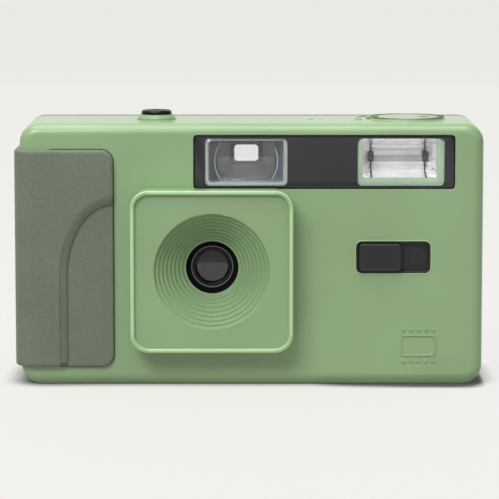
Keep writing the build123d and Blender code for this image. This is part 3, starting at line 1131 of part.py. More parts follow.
def flash_board():
    """The circuit board that stands on the deck behind the flash."""
    back = BULKHEAD_BACK + BOARD_SET
    board = block(BAY_LEFT + BOARD_LEFT_GAP, CHASSIS_RIGHT - BOARD_RIGHT_GAP, back - BOARD_THICK, back,
                  DECK_TOP, ROOF - 0.4)
    well = KNOB_R + KNOB_GAP + WELL_WALL + 0.5
    return board - block(CHAMBER_X - well, CHAMBER_X + well, back - 2 * BOARD_THICK,
                         back + CUT, WELL_BOTTOM - 0.4, CASE_HEIGHT)


def flash_transformer():
    """The flash's wound transformer on the board, with its core and bobbin flanges."""
    left = BAY_LEFT + TRANSFORMER_FROM_BAY
    low = DECK_TOP + TRANSFORMER_OVER_DECK
    right = left + TRANSFORMER_WIDTH
    back = BULKHEAD_BACK + BOARD_SET - BOARD_THICK
    front = back - TRANSFORMER_DEPTH
    top = low + TRANSFORMER_HEIGHT
    core = block(left, right, front, back, low, top)
    return core - block(left - CUT, right + CUT, front - CUT, back - BOBBIN_DEPTH,
                        low + TRANSFORMER_FLANGE, top - TRANSFORMER_FLANGE)


def ready_lamp():
    """The small lamp beside the eyepiece that shows the flash is charged."""
    x = FINDER_X + LAMP_FROM_EYE
    z = EYE_Z + 1.0
    dome = Pos(x, CASE_BACK - LAMP_R / 2, z) * Sphere(LAMP_R)
    dome -= block(x - 2 * LAMP_R, x + 2 * LAMP_R, CASE_FRONT, CASE_BACK - LAMP_R / 2, 0, CASE_HEIGHT)
    return rod_y(x, DOOR_INNER - LAMP_R, CASE_BACK - LAMP_R / 2, z, LAMP_R) + dome


def counter_window():
    """The clear pane over the frame counter."""
    half = COUNTER_HALF_WINDOW - SEAT_FIT
    return block(COUNTER_X - half, COUNTER_X + half, DOOR_INNER + PANE_INSET, CASE_BACK - SEAM / 2,
                 COUNTER_LOW + SEAT_FIT, COUNTER_LOW + COUNTER_HEIGHT - SEAM - SEAT_FIT)


def shutter_collar():
    """The green ring round the shutter button, with the sleeve that guides it."""
    bore = BUTTON_R + RUN_FIT
    sleeve = COLLAR_R - COLLAR_SEAT - SEAT_FIT
    top = CASE_HEIGHT + COLLAR_HEIGHT
    low = CASE_HEIGHT - COLLAR_SLEEVE
    return turned_z([(bore, low), (sleeve, low), (sleeve, CASE_HEIGHT), (COLLAR_R, CASE_HEIGHT),
                     (COLLAR_R - 0.1, CASE_HEIGHT + 0.4), (COLLAR_R - 0.6, top), (bore, top)],
                    BUTTON_X, BUTTON_Y)


def shutter_button():
    """The dished button, the flange that keeps it in, its stem and the foot that presses the lever."""
    top = CASE_HEIGHT + BUTTON_PROUD
    flange_top = CASE_HEIGHT - COLLAR_SLEEVE - SEAM / 2
    flange_r = COLLAR_R - SEAM
    button = turned_z([(0, flange_top - 1.0), (flange_r, flange_top - 1.0), (flange_r, flange_top),
                       (BUTTON_R, flange_top), (BUTTON_R, top - 0.4), (BUTTON_R - 0.4, top), (0, top)],
                      BUTTON_X, BUTTON_Y)
    button -= Pos(BUTTON_X, BUTTON_Y, top - BUTTON_DISH + BUTTON_DISH_R) * Sphere(BUTTON_DISH_R)
    foot_low = LEVER_Z + 1.2
    button += rod_z(BUTTON_X, BUTTON_Y, foot_low, flange_top - 1.0, 1.5)
    return button + block(BUTTON_X - 0.9, BUTTON_X + 0.9, LEVER_FRONT, BUTTON_Y, foot_low, foot_low + 1.6)


def crank_slot():
    """The slot in the knob that the folded crank lies in, open at its heel."""
    half = CRANK_WIDTH / 2 + CRANK_SIDE_GAP
    floor = CRANK_LOW - CRANK_FLOOR_GAP
    end = CRANK_END + CRANK_SIDE_GAP - SEAM
    slot = block(-KNOB_R - CUT, end, -half, half, floor, KNOB_TOP + CUT)
    slot += rod_z(end, 0, floor, KNOB_TOP + CUT, half)
    return slot + rod_z(CRANK_END, 0, CRANK_Z - HANDLE_LENGTH, KNOB_TOP + CUT, HANDLE_R + 0.3)


def rewind_knob():
    """The round knob in the top, slotted for its crank."""
    knob = turned_z([(0, KNOB_BOTTOM), (KNOB_R, KNOB_BOTTOM), (KNOB_R, KNOB_TOP - KNOB_EDGE),
                     (KNOB_R - KNOB_EDGE, KNOB_TOP), (0, KNOB_TOP)], 0, 0)
    knob -= crank_slot()
    knob -= rod_z(0, 0, KNOB_BOTTOM - CUT, KNOB_BOTTOM + NECK_LENGTH + SEAT_FIT, SHAFT_NECK_R + SEAT_FIT)
    half = CRANK_WIDTH / 2 + CRANK_SIDE_GAP
    pin = CRANK_PIN_R + RUN_FIT
    for side in (-1, 1):
        knob -= block(-CRANK_PIVOT - pin, -CRANK_PIVOT + pin, side * half - CRANK_PIN_OVER,
                      side * half + CRANK_PIN_OVER, CRANK_Z - pin, KNOB_TOP + CUT)
    return Pos(CHAMBER_X, CHAMBER_Y, 0) * knob


def rewind_crank():
    """The flat folding crank with its round heel, pivot pin and the hole for its handle."""
    half = CRANK_WIDTH / 2
    arm = block(-CRANK_PIVOT, CRANK_END, -half, half, CRANK_LOW, KNOB_TOP)
    arm += rod_z(CRANK_END, 0, CRANK_LOW, KNOB_TOP, half)
    arm += rod_y(-CRANK_PIVOT, -half, half, CRANK_Z, CRANK_THICK / 2)
    arm += rod_y(-CRANK_PIVOT, -half - CRANK_PIN_OVER, half + CRANK_PIN_OVER, CRANK_Z, CRANK_PIN_R)
    arm -= rod_z(CRANK_END, 0, CRANK_LOW - CUT, KNOB_TOP + CUT, HANDLE_NECK_R + RUN_FIT)
    return Pos(CHAMBER_X, CHAMBER_Y, 0) * arm


def crank_handle():
    """The little turning handle, which hangs in the knob while the crank is folded."""
    low = CRANK_Z - HANDLE_LENGTH + KNOB_GAP
    top = CRANK_LOW - SEAT_FIT
    edge = 0.3
    handle = turned_z([(0, low), (HANDLE_R - edge, low), (HANDLE_R, low + edge), (HANDLE_R, top),
                       (HANDLE_NECK_R, top), (HANDLE_NECK_R, KNOB_TOP - SEAT_FIT), (0, KNOB_TOP - SEAT_FIT)],
                      CRANK_END, 0)
    return Pos(CHAMBER_X, CHAMBER_Y, 0) * handle


def rewind_shaft():
    """The rewind shaft with the two collars that trap its bush and the fork for the film spool."""
    tip = CHAMBER_TOP - FORK_LENGTH
    collar_r = SHAFT_R + SHAFT_COLLAR
    shaft = rod_z(CHAMBER_X, CHAMBER_Y, tip, KNOB_BOTTOM, SHAFT_R)
    shaft += rod_z(CHAMBER_X, CHAMBER_Y, KNOB_BOTTOM, KNOB_BOTTOM + NECK_LENGTH, SHAFT_NECK_R)
    for low in (BUSH_LOW - BUSH_GAP - BUSH_COLLAR_THICK, BUSH_HIGH + BUSH_GAP):
        shaft += rod_z(CHAMBER_X, CHAMBER_Y, low, low + BUSH_COLLAR_THICK, collar_r)
    for front, back in ((-SHAFT_R - CUT, -FORK_HALF), (FORK_HALF, SHAFT_R + CUT)):
        shaft -= block(CHAMBER_X - SHAFT_R - CUT, CHAMBER_X + SHAFT_R + CUT,
                       CHAMBER_Y + front, CHAMBER_Y + back, tip - CUT, CHAMBER_TOP - 1.2)
    return shaft


def rewind_bush():
    """The bush that carries the rewind shaft while it is pulled up or turned."""
    ring = rod_z(CHAMBER_X, CHAMBER_Y, BUSH_LOW, BUSH_HIGH, BUSH_R)
    return ring - rod_z(CHAMBER_X, CHAMBER_Y, BUSH_LOW - CUT, BUSH_HIGH + CUT, SHAFT_R + RUN_FIT)


def switch_tray():
    """The black tray that the flash switch slides in, with the round mark at its far end."""
    floor = CASE_FRONT + SWITCH_RECESS
    tray = plate(SWITCH_LEFT + SEAT_FIT, SWITCH_RIGHT - SEAT_FIT,
                 CASE_FRONT + SEAM / 2, SHELL_INNER + TRAY_BACK,
                 SWITCH_BOTTOM + SEAT_FIT, SWITCH_TOP - SEAT_FIT, SWITCH_CORNER_R - SEAT_FIT)
    tray -= plate(SWITCH_LEFT + TRAY_WALL, SWITCH_RIGHT - TRAY_WALL, CASE_FRONT - CUT, floor,
                  SWITCH_BOTTOM + TRAY_WALL, SWITCH_TOP - TRAY_WALL, SWITCH_CORNER_R - TRAY_WALL)
    tray += plate(SWITCH_LEFT - TRAY_FLANGE, SWITCH_RIGHT + TRAY_FLANGE, SHELL_INNER, SHELL_INNER + TRAY_BACK,
                  SWITCH_BOTTOM - TRAY_FLANGE, SWITCH_TOP + TRAY_FLANGE, SWITCH_CORNER_R)
    mark_x = SWITCH_RIGHT - TRAY_WALL - MARK_R - SEAM
    return tray + rod_y(mark_x, floor - SEAM / 2, floor, (SWITCH_BOTTOM + SWITCH_TOP) / 2, MARK_R)


def flash_switch():
    """The flash switch's slider, proud of the front, at its off end."""
    left = SWITCH_LEFT + TRAY_WALL + 2 * SLIDER_SIDE_GAP
    inset = TRAY_WALL + SLIDER_SIDE_GAP
    knob = plate(left, left + SLIDER_WIDTH, CASE_FRONT - SLIDER_PROUD, CASE_FRONT + SWITCH_RECESS - SEAM,
                 SWITCH_BOTTOM + inset, SWITCH_TOP - inset, 0.95)
    return fillet(knob.faces().sort_by(Axis.Y)[0].edges(), SLIDER_EDGE_R)


def grip_pad():
    """The soft-touch pad round the left end, with its finger recess."""
    front = CASE_FRONT - GRIP_FRONT_PROUD
    pad = block(-HALF - GRIP_SIDE_PROUD, GRIP_RIGHT, front, GRIP_BACK, GRIP_BOTTOM, GRIP_TOP)
    corner = [e for e in pad.edges().filter_by(Axis.Z) if e.center().X < -HALF and e.center().Y < 0]
    pad = fillet(corner, FRONT_EDGE_R + GRIP_FRONT_PROUD)
    corners = [e for e in pad.edges().filter_by(Axis.Y) if e.center().X > GRIP_RIGHT - 1.0]
    pad = fillet(corners, GRIP_CORNER_R)
    outer = pad.faces().filter_by(Axis.Y).sort_by(Axis.Y)[0]
    pad = fillet(outer.edges().filter_by(lambda e: e.center().X > -HALF + 1.0), GRIP_EDGE_R)
    oval = Pos(GRIP_RIGHT, 0, GRIP_RECESS_SPRING) * Rot(90, 0, 0)
    oval *= Ellipse(GRIP_RECESS_WIDTH, GRIP_RECESS_CURVE)
    below = Pos(GRIP_RIGHT, 0, GRIP_RECESS_SPRING / 2) * Rot(90, 0, 0) * Rectangle(
        2 * GRIP_RECESS_WIDTH, GRIP_RECESS_SPRING)
    pad -= Pos(0, front + GRIP_RECESS, 0) * extrude(oval + below, 5.0)
    return pad - case_form(CASE_FRONT, SHELL_BACK, FRONT_EDGE_R, 0)


def battery_cell():
    """A small round cell with its raised contact."""
    shoulder = CELL_TOP - CELL_NIB
    return turned_z([(0, CELL_BOTTOM), (CELL_R - 0.4, CELL_BOTTOM), (CELL_R, CELL_BOTTOM + 0.4),
                     (CELL_R, shoulder - 0.5), (CELL_R - 0.5, shoulder), (CELL_NIB_R, shoulder),
                     (CELL_NIB_R, CELL_TOP), (0, CELL_TOP)], CELL_X, CELL_Y)


def battery_contact_upper():
    """The bent strip under the bay's roof that the cell's raised end touches."""
    low = CHAMBER_TOP - CONTACT_THICK
    strip = block(CELL_X - CONTACT_HALF, CELL_X + CONTACT_HALF, CELL_Y - CONTACT_FRONT, CELL_Y + CONTACT_BACK,
                  low, CHAMBER_TOP)
    return strip + block(CELL_X - CONTACT_NIB_HALF, CELL_X + CONTACT_NIB_HALF, CELL_Y - CONTACT_NIB_DEPTH,
                         CELL_Y + CONTACT_NIB_DEPTH, CELL_TOP + SEAM, low)


def lid_pin(r, gap):
    """The battery lid's hinge line: a rod of a radius that runs past the lid at both ends."""
    over = LID_HALF + 3 * SEAM + gap
    return rod_x(CELL_X - over, CELL_X + over, LID_HINGE_Y, SEAM + LID_HINGE_R, r)


def battery_door():
    """The lid under the battery, hinged at its rear edge on two stubs of its own."""
    front = CELL_Y - LID_HALF
    lid = block(CELL_X - LID_HALF, CELL_X + LID_HALF, front, LID_HINGE_Y, SEAM, WALL)
    lid += rod_x(CELL_X - LID_HALF, CELL_X + LID_HALF, LID_HINGE_Y, SEAM + LID_HINGE_R, LID_HINGE_R)
    for i in range(LID_GROOVES):
        y = front + 1.6 + 1.2 * i
        lid -= block(CELL_X - LID_HALF / 2, CELL_X + LID_HALF / 2, y, y + 0.5, 0, SEAM + 0.3)
    return lid + lid_pin(LID_PIN_R, 0)


def battery_contact_lower():
    """The stepped spring contact on the lid."""
    radii = (3.4, 2.8, 2.2)
    rise = (CELL_BOTTOM - WALL - SEAM) / len(radii)
    outline = [(1.4, WALL)]
    for i, r in enumerate(radii):
        outline += [(r, WALL + i * rise), (r, WALL + (i + 1) * rise)]
    return turned_z(outline + [(1.4, CELL_BOTTOM - SEAM)], CELL_X, CELL_Y)


def base_screws():
    """The four cross-head screws that hold the shell to the chassis, put in from below."""
    screws = []
    for x, y in screw_places():
        head = SCREW_HEAD + SCREW_SUNK
        screw = rod_z(x, y, SCREW_SUNK, head, SCREW_HEAD_R)
        screw += rod_z(x, y, head, CHASSIS_BOTTOM + SCREW_LENGTH - BOSS_ROOF - SEAM, SCREW_R)
        for angle in (0, 90):
            screw -= Pos(x, y, 0) * Rot(0, 0, angle) * block(-1.2, 1.2, -0.25, 0.25, 0, SCREW_SUNK + 0.5)
        screws.append(screw.solid())
    return Compound(screws)


def rewind_release():
    """The button in the base that frees the sprocket for rewinding."""
    edge = 0.3
    low = WALL + SEAM / 2
    high = low + RELEASE_FLANGE_THICK
    stem = CHASSIS_BOTTOM + FLOOR_THICK + RELEASE_STEM
    return turned_z([(0, SEAM), (RELEASE_R - edge, SEAM), (RELEASE_R, SEAM + edge), (RELEASE_R, low),
                     (RELEASE_R + RELEASE_FLANGE, low), (RELEASE_R + RELEASE_FLANGE, high),
                     (RELEASE_STEM_R, high), (RELEASE_STEM_R, stem), (0, stem)], SPROCKET_X, SPROCKET_Y)


def strap_bar():
    """The bar across the strap pocket in the right side."""
    middle = (STRAP_FRONT + STRAP_BACK) / 2
    return rod_z(HALF - STRAP_BAR_R - SEAM / 2, middle, STRAP_BOTTOM, STRAP_TOP, STRAP_BAR_R)


PARTS = {
    "front_shell": front_shell,
    "rewind_well": rewind_well,
    "lens_panel": lens_panel,
    "lens_barrel": lens_barrel,
    "lens_retaining_ring": lens_retaining_ring,
    "lens_element": lens_element,
    "aperture_plate": aperture_plate,
    "shutter_plate": shutter_plate,
    "shutter_blade": shutter_blade,
    "release_lever": release_lever,
    "film_rails": film_rails,
    "light_tunnel": light_tunnel,
    "cartridge_chamber": cartridge_chamber,
    "takeup_chamber": takeup_chamber,
    "chassis_deck": chassis_deck,
    "chassis_floor": chassis_floor,
    "shutter_bulkhead": shutter_bulkhead,
    "takeup_spool": takeup_spool,
    "thumb_wheel": thumb_wheel,
    "film_sprocket": film_sprocket,
    "counter_drum": counter_drum,
    "counter_window": counter_window,
    "rear_cover": rear_cover,
    "eyepiece_window": eyepiece_window,
    "ready_lamp": ready_lamp,
    "back_door": back_door,
    "door_catch": door_catch,
    "hinge_pin": hinge_pin,
    "film_window": film_window,
    "door_seals": door_seals,
    "pressure_plate": pressure_plate,
    "pressure_spring": pressure_spring,
    "door_latch": door_latch,
    "window_strip": window_strip,
    "viewfinder_window": viewfinder_window,
    "viewfinder_objective": viewfinder_objective,
    "viewfinder_tunnel": viewfinder_tunnel,
    "flash_window": flash_window,
    "flash_reflector": flash_reflector,
    "flash_tube": flash_tube,
    "flash_board": flash_board,
    "flash_transformer": flash_transformer,
    "flash_capacitor": flash_capacitor,
    "shutter_collar": shutter_collar,
    "shutter_button": shutter_button,
    "rewind_knob": rewind_knob,
    "rewind_crank": rewind_crank,
    "crank_handle": crank_handle,
    "rewind_shaft": rewind_shaft,
    "rewind_bush": rewind_bush,
    "switch_tray": switch_tray,
    "flash_switch": flash_switch,
    "grip_pad": grip_pad,
    "battery_cell": battery_cell,
    "battery_contact_upper": battery_contact_upper,
    "battery_contact_lower": battery_contact_lower,
    "battery_door": battery_door,
    "base_screws": base_screws,
    "rewind_release": rewind_release,
    "strap_bar": strap_bar,
}

os.makedirs("parts", exist_ok=True)
for name, make in PARTS.items():
    export_step(make(), os.path.join("parts", name + ".step"))
    print("wrote", name)
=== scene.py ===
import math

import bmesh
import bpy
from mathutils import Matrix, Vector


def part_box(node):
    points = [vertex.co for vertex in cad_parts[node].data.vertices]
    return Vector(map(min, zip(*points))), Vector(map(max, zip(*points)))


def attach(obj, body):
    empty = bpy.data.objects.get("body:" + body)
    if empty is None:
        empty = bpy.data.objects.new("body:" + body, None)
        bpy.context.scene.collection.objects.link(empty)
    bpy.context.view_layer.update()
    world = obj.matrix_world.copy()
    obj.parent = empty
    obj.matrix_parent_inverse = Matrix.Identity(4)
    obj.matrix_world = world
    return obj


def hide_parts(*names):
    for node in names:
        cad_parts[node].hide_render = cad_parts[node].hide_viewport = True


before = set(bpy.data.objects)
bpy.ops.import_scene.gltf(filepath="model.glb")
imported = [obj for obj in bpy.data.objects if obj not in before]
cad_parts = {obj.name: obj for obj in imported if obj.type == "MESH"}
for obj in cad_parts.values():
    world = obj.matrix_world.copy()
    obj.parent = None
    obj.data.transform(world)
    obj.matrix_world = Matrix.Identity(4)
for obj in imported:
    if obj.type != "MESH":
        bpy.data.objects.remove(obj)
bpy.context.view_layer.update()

# %% [markdown]
# # A compact film camera in its studio
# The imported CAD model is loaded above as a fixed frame: every node already has its place and its
# size. This lesson dresses it. Nodes whose shape is right get a real finish, and the pieces that
# the eye rests on, such as the stepped lens panel, are modelled again with more care and stand in
# for their node.

MM = 0.001                      # the scene is in metres, and a camera is thought of in millimetres

# %% [markdown]
# ## The view
# The photograph is taken from straight in front and a little above, with a long lens, so that the
# upright edges stay parallel. Its landmarks fit a lens of 200 mm on a 36 mm sensor, 0.7 m away and
# looking down by 7 degrees. The camera is aimed by placing it, so no shift is needed.

# %% Set up the studio camera
VIEW_DISTANCE = 0.700
VIEW_DOWN = math.radians(7.03)
VIEW_LENS = 200.5
VIEW_AIM = Vector((-0.53, 0.0, 31.56)) * MM

back_from_aim = Vector((0.0, -math.cos(VIEW_DOWN), math.sin(VIEW_DOWN)))
bpy.ops.object.camera_add(location=VIEW_AIM + back_from_aim * VIEW_DISTANCE,
                          rotation=(math.radians(90) - VIEW_DOWN, 0.0, 0.0))
studio_camera = bpy.context.object
studio_camera.name = "studio_camera"
studio_camera.data.lens = VIEW_LENS
studio_camera.data.sensor_width = 36.0
studio_camera.data.clip_start = 0.02
bpy.context.scene.camera = studio_camera
print("camera at, m:", [round(place, 4) for place in studio_camera.location])

# %% [markdown]
# ## Colours and finishes
# A colour is written as the eye reads it on a screen, from 0 to 255, and turned into the light
# values that the shader works with. Each finish is a small net of nodes. `add_node` adds one node,
# and `feed` gives a node's inputs a number, a colour or the output of another node. Patterns read
# the place on the object, so they have a real size in millimetres and stay where they are when a
# piece moves.

# %% Colour and node helpers
def tone(red, green, blue):
    """The shader's colour for a colour that is read on a screen."""
    def light(value):
        share = value / 255
        return share / 12.92 if share <= 0.04045 else ((share + 0.055) / 1.055) ** 2.4
    return (light(red), light(green), light(blue), 1.0)


def shade(colour, factor):
    """The same colour, lighter or darker."""
    return tuple(min(1.0, part * factor) for part in colour[:3]) + (1.0,)


def feed(finish, node, **inputs):
    """Gives inputs of a node a value, or the output of another node. An input is written with _
    for each space in its name, or by its number, as in input0."""
    for name, value in inputs.items():
        socket = node.inputs[int(name[5:]) if name.startswith("input") else name.replace("_", " ")]
        if isinstance(value, bpy.types.NodeSocket):
            finish.node_tree.links.new(value, socket)
        else:
            socket.default_value = value


def add_node(finish, kind, settings=None, **inputs):
    """One more node in a finish, with its settings and what goes into it."""
    node = finish.node_tree.nodes.new("ShaderNode" + kind)
    for name, setting in (settings or {}).items():
        setattr(node, name, setting)
    feed(finish, node, **inputs)
    return node


def new_finish(name, colour, roughness, **shader):
    """A material with a Principled surface, and the place on the object that patterns read."""
    finish = bpy.data.materials.new(name)
    finish.use_nodes = True
    surface = finish.node_tree.nodes["Principled BSDF"]
    feed(finish, surface, Base_Color=colour, Roughness=roughness, **shader)
    return finish, surface, add_node(finish, "TexCoord").outputs["Object"]


def spots(finish, place, size_mm, detail=3.0, stretch=(1.0, 1.0, 1.0)):
    """A noise whose spots are about size_mm across on the real object."""
    spread = add_node(finish, "Mapping", Vector=place, Scale=stretch)
    return add_node(finish, "TexNoise", Vector=spread.outputs["Vector"],
                    Scale=1 / (size_mm * MM), Detail=detail).outputs["Fac"]


def ranged(finish, source, low=0.3, high=0.7, to_low=0.0, to_high=1.0):
    """Stretches a value from one range to another, at first from a noise's middle to 0 to 1."""
    return add_node(finish, "MapRange", Value=source, From_Min=low, From_Max=high,
                    To_Min=to_low, To_Max=to_high).outputs["Result"]


def reckoned(finish, operation, first, second):
    """Adds or multiplies two values, or raises one to the power of the other."""
    return add_node(finish, "Math", {"operation": operation},
                    input0=first, input1=second).outputs["Value"]


def tint(finish, amount, base, other):
    """Mixes two colours by an amount between 0 and 1. Either may come from another node."""
    return add_node(finish, "Mix", {"data_type": "RGBA"},
                    Factor=amount, input6=base, input7=other).outputs[2]


def either(finish, choice, first, second, end="Material Output"):
    """Shows the first node's surface or light where a choice is 0, and the second's where 1."""
    mix = add_node(finish, "MixShader", Fac=choice, input1=first.outputs[0],
                   input2=second.outputs[0])
    feed(finish, finish.node_tree.nodes[end], Surface=mix.outputs["Shader"])


def soft_edge_normal(finish, width_mm):
    """The surface's direction with every sharp edge rounded by a width in millimetres."""
    return add_node(finish, "Bevel", {"samples": 4}, Radius=width_mm * MM).outputs["Normal"]


def raised(finish, surface, height, depth_mm, under=None):
    """Raises the surface by a height pattern that is depth_mm deep, over an optional normal."""
    bump = add_node(finish, "Bump", Strength=1.0, Distance=depth_mm * MM, Height=height)
    if under:
        feed(finish, bump, Normal=under)
    feed(finish, surface, Normal=bump.outputs["Normal"])


def rub_edges(finish, surface, rounded, share, base, colour):
    """Colours the surface, with a share of a lighter colour along its edges, where its rounded
    direction leaves the plain one: partly wear and partly a painted highlight."""
    match = add_node(finish, "VectorMath", {"operation": "DOT_PRODUCT"}, input0=rounded,
                     input1=add_node(finish, "NewGeometry").outputs["Normal"])
    # the lighter colour along the edges is partly wear and partly a painted highlight
    worn_and_highlit = ranged(finish, match.outputs["Value"], 0.995, 0.88, 0.0, share)
    feed(finish, surface, Base_Color=tint(finish, worn_and_highlit, base, colour))

# %% [markdown]
# ## Moulded plastic
# The shell is ABS, moulded in a steel tool whose walls were spark eroded, which leaves a fine satin
# grain. Four things keep it from looking like paint on a flat wall: the grain in the bump, a slow
# drift of the tone where the plastic flowed, patches of gloss from handling, and edges painted
# lighter, partly as wear from hands and partly as a painted highlight. The Bevel node also rounds
# each sharp edge a little, as a real moulding does.

# %% A finish for moulded plastic
def moulded(name, colour, roughness, grain_mm=0.22, grain_depth=0.010, drift=0.05,
            edge_mm=0.35, edge_light=1.35, edge_share=0.5, handling=0.025, **shader):
    """Moulded plastic: grain, tone drift, patchy gloss, worn edges with a painted highlight."""
    finish, surface, place = new_finish(name, colour, roughness, **shader)
    fine = spots(finish, place, grain_mm, detail=2.0)
    slow = spots(finish, place, 26.0, detail=1.0)
    patch = spots(finish, place, 3.2, detail=4.0)
    flow = tint(finish, ranged(finish, slow), shade(colour, 1 - drift), shade(colour, 1 + drift))
    speck = tint(finish, ranged(finish, fine, 0.35, 0.75, 0.0, 0.12), flow, shade(colour, 1.25))
    rounded = soft_edge_normal(finish, edge_mm)
    rub_edges(finish, surface, rounded, edge_share, speck, shade(colour, edge_light))
    gloss = ranged(finish, patch, to_low=roughness - handling, to_high=roughness + handling)
    feed(finish, surface, Roughness=gloss)
    raised(finish, surface, fine, grain_depth, under=rounded)
    return finish

GREEN, GREEN_GLOSS = tone(150, 180, 134), 0.21
finishes = {
    "green_shell": moulded("satin green shell", GREEN, GREEN_GLOSS),
    "black_plastic": moulded("black body plastic", tone(33, 33, 35), 0.45, grain_mm=0.35,
                             grain_depth=0.02, drift=0.12, edge_light=2.2, edge_share=0.35),
    "window_black": moulded("smoked window strip", tone(47, 47, 54), 0.22, grain_mm=0.8,
                            grain_depth=0.002, drift=0.03, edge_mm=0.15, edge_light=1.5,
                            edge_share=0.3),
    "counter_white": moulded("counter white", tone(228, 228, 222), 0.5, edge_light=1.0),
    "seal_foam": moulded("light seal foam", tone(24, 24, 25), 0.95, grain_mm=0.5,
                         grain_depth=0.2, edge_light=1.2),
}
print("moulded finishes:", ", ".join(finishes))

# %% [markdown]
# ## Soft grip
# The grip is a rubbery overmould, duller and greyer than the shell, with a fine leather-like grain
# of small cells between thin valleys. Its edges are painted only a little lighter, partly as wear
# where fingers polish its high places and partly as a painted highlight, and a trace of sheen gives
# the powdery look of soft-touch rubber.

# %% The grip's finish
def soft_touch(name, colour, cell_mm=0.55, depth_mm=0.035, edge_mm=1.0):
    """Soft-touch rubber with a pressed grain of cells, about cell_mm across."""
    finish, surface, place = new_finish(name, colour, 0.62, Sheen_Weight=0.12,
                                        Sheen_Roughness=0.5, Specular_IOR_Level=0.35)
    pressed = add_node(finish, "TexVoronoi", Vector=place, Scale=1 / (cell_mm * MM))
    cell = pressed.outputs["Distance"]
    fine = spots(finish, place, 0.16, detail=2.0)
    slow = spots(finish, place, 14.0, detail=2.0)
    base = tint(finish, ranged(finish, slow), shade(colour, 0.94), shade(colour, 1.06))
    valley = tint(finish, ranged(finish, cell, 0.35, 0.75, 0.0, 0.35), base, shade(colour, 0.72))
    rounded = soft_edge_normal(finish, edge_mm)
    rub_edges(finish, surface, rounded, 0.35, valley, shade(colour, 1.35))
    height = reckoned(finish, "ADD", ranged(finish, cell, 0.2, 0.8, 1.0, 0.0),
                      ranged(finish, fine, to_high=0.5))
    raised(finish, surface, height, depth_mm, under=rounded)
    return finish

finishes["soft_grip"] = soft_touch("soft-touch grip", tone(121, 132, 113))

# %% [markdown]
# ## Clear parts
# The panes are clear acrylic, the lens is coated glass and the flash tube is quartz. They let the
# light through, so what lies behind them has to be modelled too. A renderer lets a lamp's light
# through glass only slowly, so a Light Path node lets lamps pass straight through, and sight still
# bends. Real panes are never perfect: a faint waviness and a little dust break up the reflections.

# %% Clear finishes
def clear(name, colour, roughness=0.02, ior=1.49, wave=0.002):
    """A clear moulded pane or a glass, with a faint waviness and a trace of dust."""
    finish, surface, place = new_finish(name, colour, roughness, Transmission_Weight=1.0, IOR=ior)
    ripple = spots(finish, place, 2.4, detail=1.0)
    dust = spots(finish, place, 0.35, detail=2.0)
    feed(finish, surface, Roughness=ranged(finish, dust, 0.62, 0.75, roughness, roughness + 0.15))
    raised(finish, surface, ripple, wave)
    either(finish, add_node(finish, "LightPath").outputs["Is Shadow Ray"], surface,
           add_node(finish, "BsdfTransparent", Color=colour))
    return finish

finishes["clear_plastic"] = clear("clear acrylic pane", tone(254, 254, 255), ior=1.45)
finishes["lens_glass"] = clear("coated lens glass", tone(220, 221, 228), 0.0, 1.52, 0.0005)
finishes["flash_glass"] = clear("quartz flash tube", tone(246, 246, 244), 0.03, 1.46)
finishes["lamp_orange"] = moulded("amber lamp lens", tone(222, 108, 36), 0.2, grain_mm=0.6,
                                  grain_depth=0.003, Coat_Weight=0.6, Transmission_Weight=0.25)

# %% [markdown]
# ## Metals
# Bare metal in a camera is never mirror flat. Turned and drawn parts have fine lines, stamped ones
# a dull bloom, and plated ones stay bright. One function takes the colour, the gloss, and the
# direction and strength of the lines.

# %% Metal finishes
def metal(name, colour, roughness, line_mm=0.12, stretch=(1.0, 1.0, 1.0), line_depth=0.002,
          bloom=0.08, metallic=1.0):
    """Metal with drawn lines, a patchy bloom, and edges painted lighter for wear and highlight."""
    finish, surface, place = new_finish(name, colour, roughness, Metallic=metallic)
    lines = spots(finish, place, line_mm, detail=3.0, stretch=stretch)
    patch = spots(finish, place, 2.5, detail=4.0)
    rounded = soft_edge_normal(finish, 0.15)
    base = tint(finish, ranged(finish, patch), shade(colour, 0.88), shade(colour, 1.06))
    rub_edges(finish, surface, rounded, 0.5, base, shade(colour, 1.25))
    gloss = ranged(finish, patch, to_low=max(0.02, roughness - bloom), to_high=roughness + bloom)
    feed(finish, surface, Roughness=gloss)
    raised(finish, surface, lines, line_depth, under=rounded)
    return finish

finishes["mirror_chrome"] = metal("flash foil", tone(252, 252, 254), 0.14, line_mm=0.9,
                                  line_depth=0.006, bloom=0.03, metallic=0.5)
finishes["grey_metal"] = metal("dark anodised ring", tone(44, 44, 47), 0.38)
finishes["steel"] = metal("bright steel", tone(178, 178, 180), 0.28, stretch=(0.1, 1.0, 1.0))
finishes["blackened_steel"] = metal("blackened steel", tone(38, 38, 40), 0.45)
finishes["nickel"] = metal("nickel plate", tone(205, 201, 190), 0.22)

# %% [markdown]
# ## Small works inside
# Circuit board, winding, capacitor sleeve and cell wrap are seen when a door is open, or through a
# window. Each one has its own tell-tale pattern: copper tracks under green lacquer, windings laid
# side by side, a shrunk vinyl sleeve, and the printed band of a plain cell.

# %% Finishes for the electrical parts
def patterned(finish, surface, place, pattern, low, high, depth_mm):
    """Colours and raises a surface by the pattern that one node draws."""
    feed(finish, pattern, Vector=place)
    feed(finish, surface, Base_Color=tint(finish, pattern.outputs["Fac"], low, high))
    raised(finish, surface, pattern.outputs["Fac"], depth_mm)
    return finish


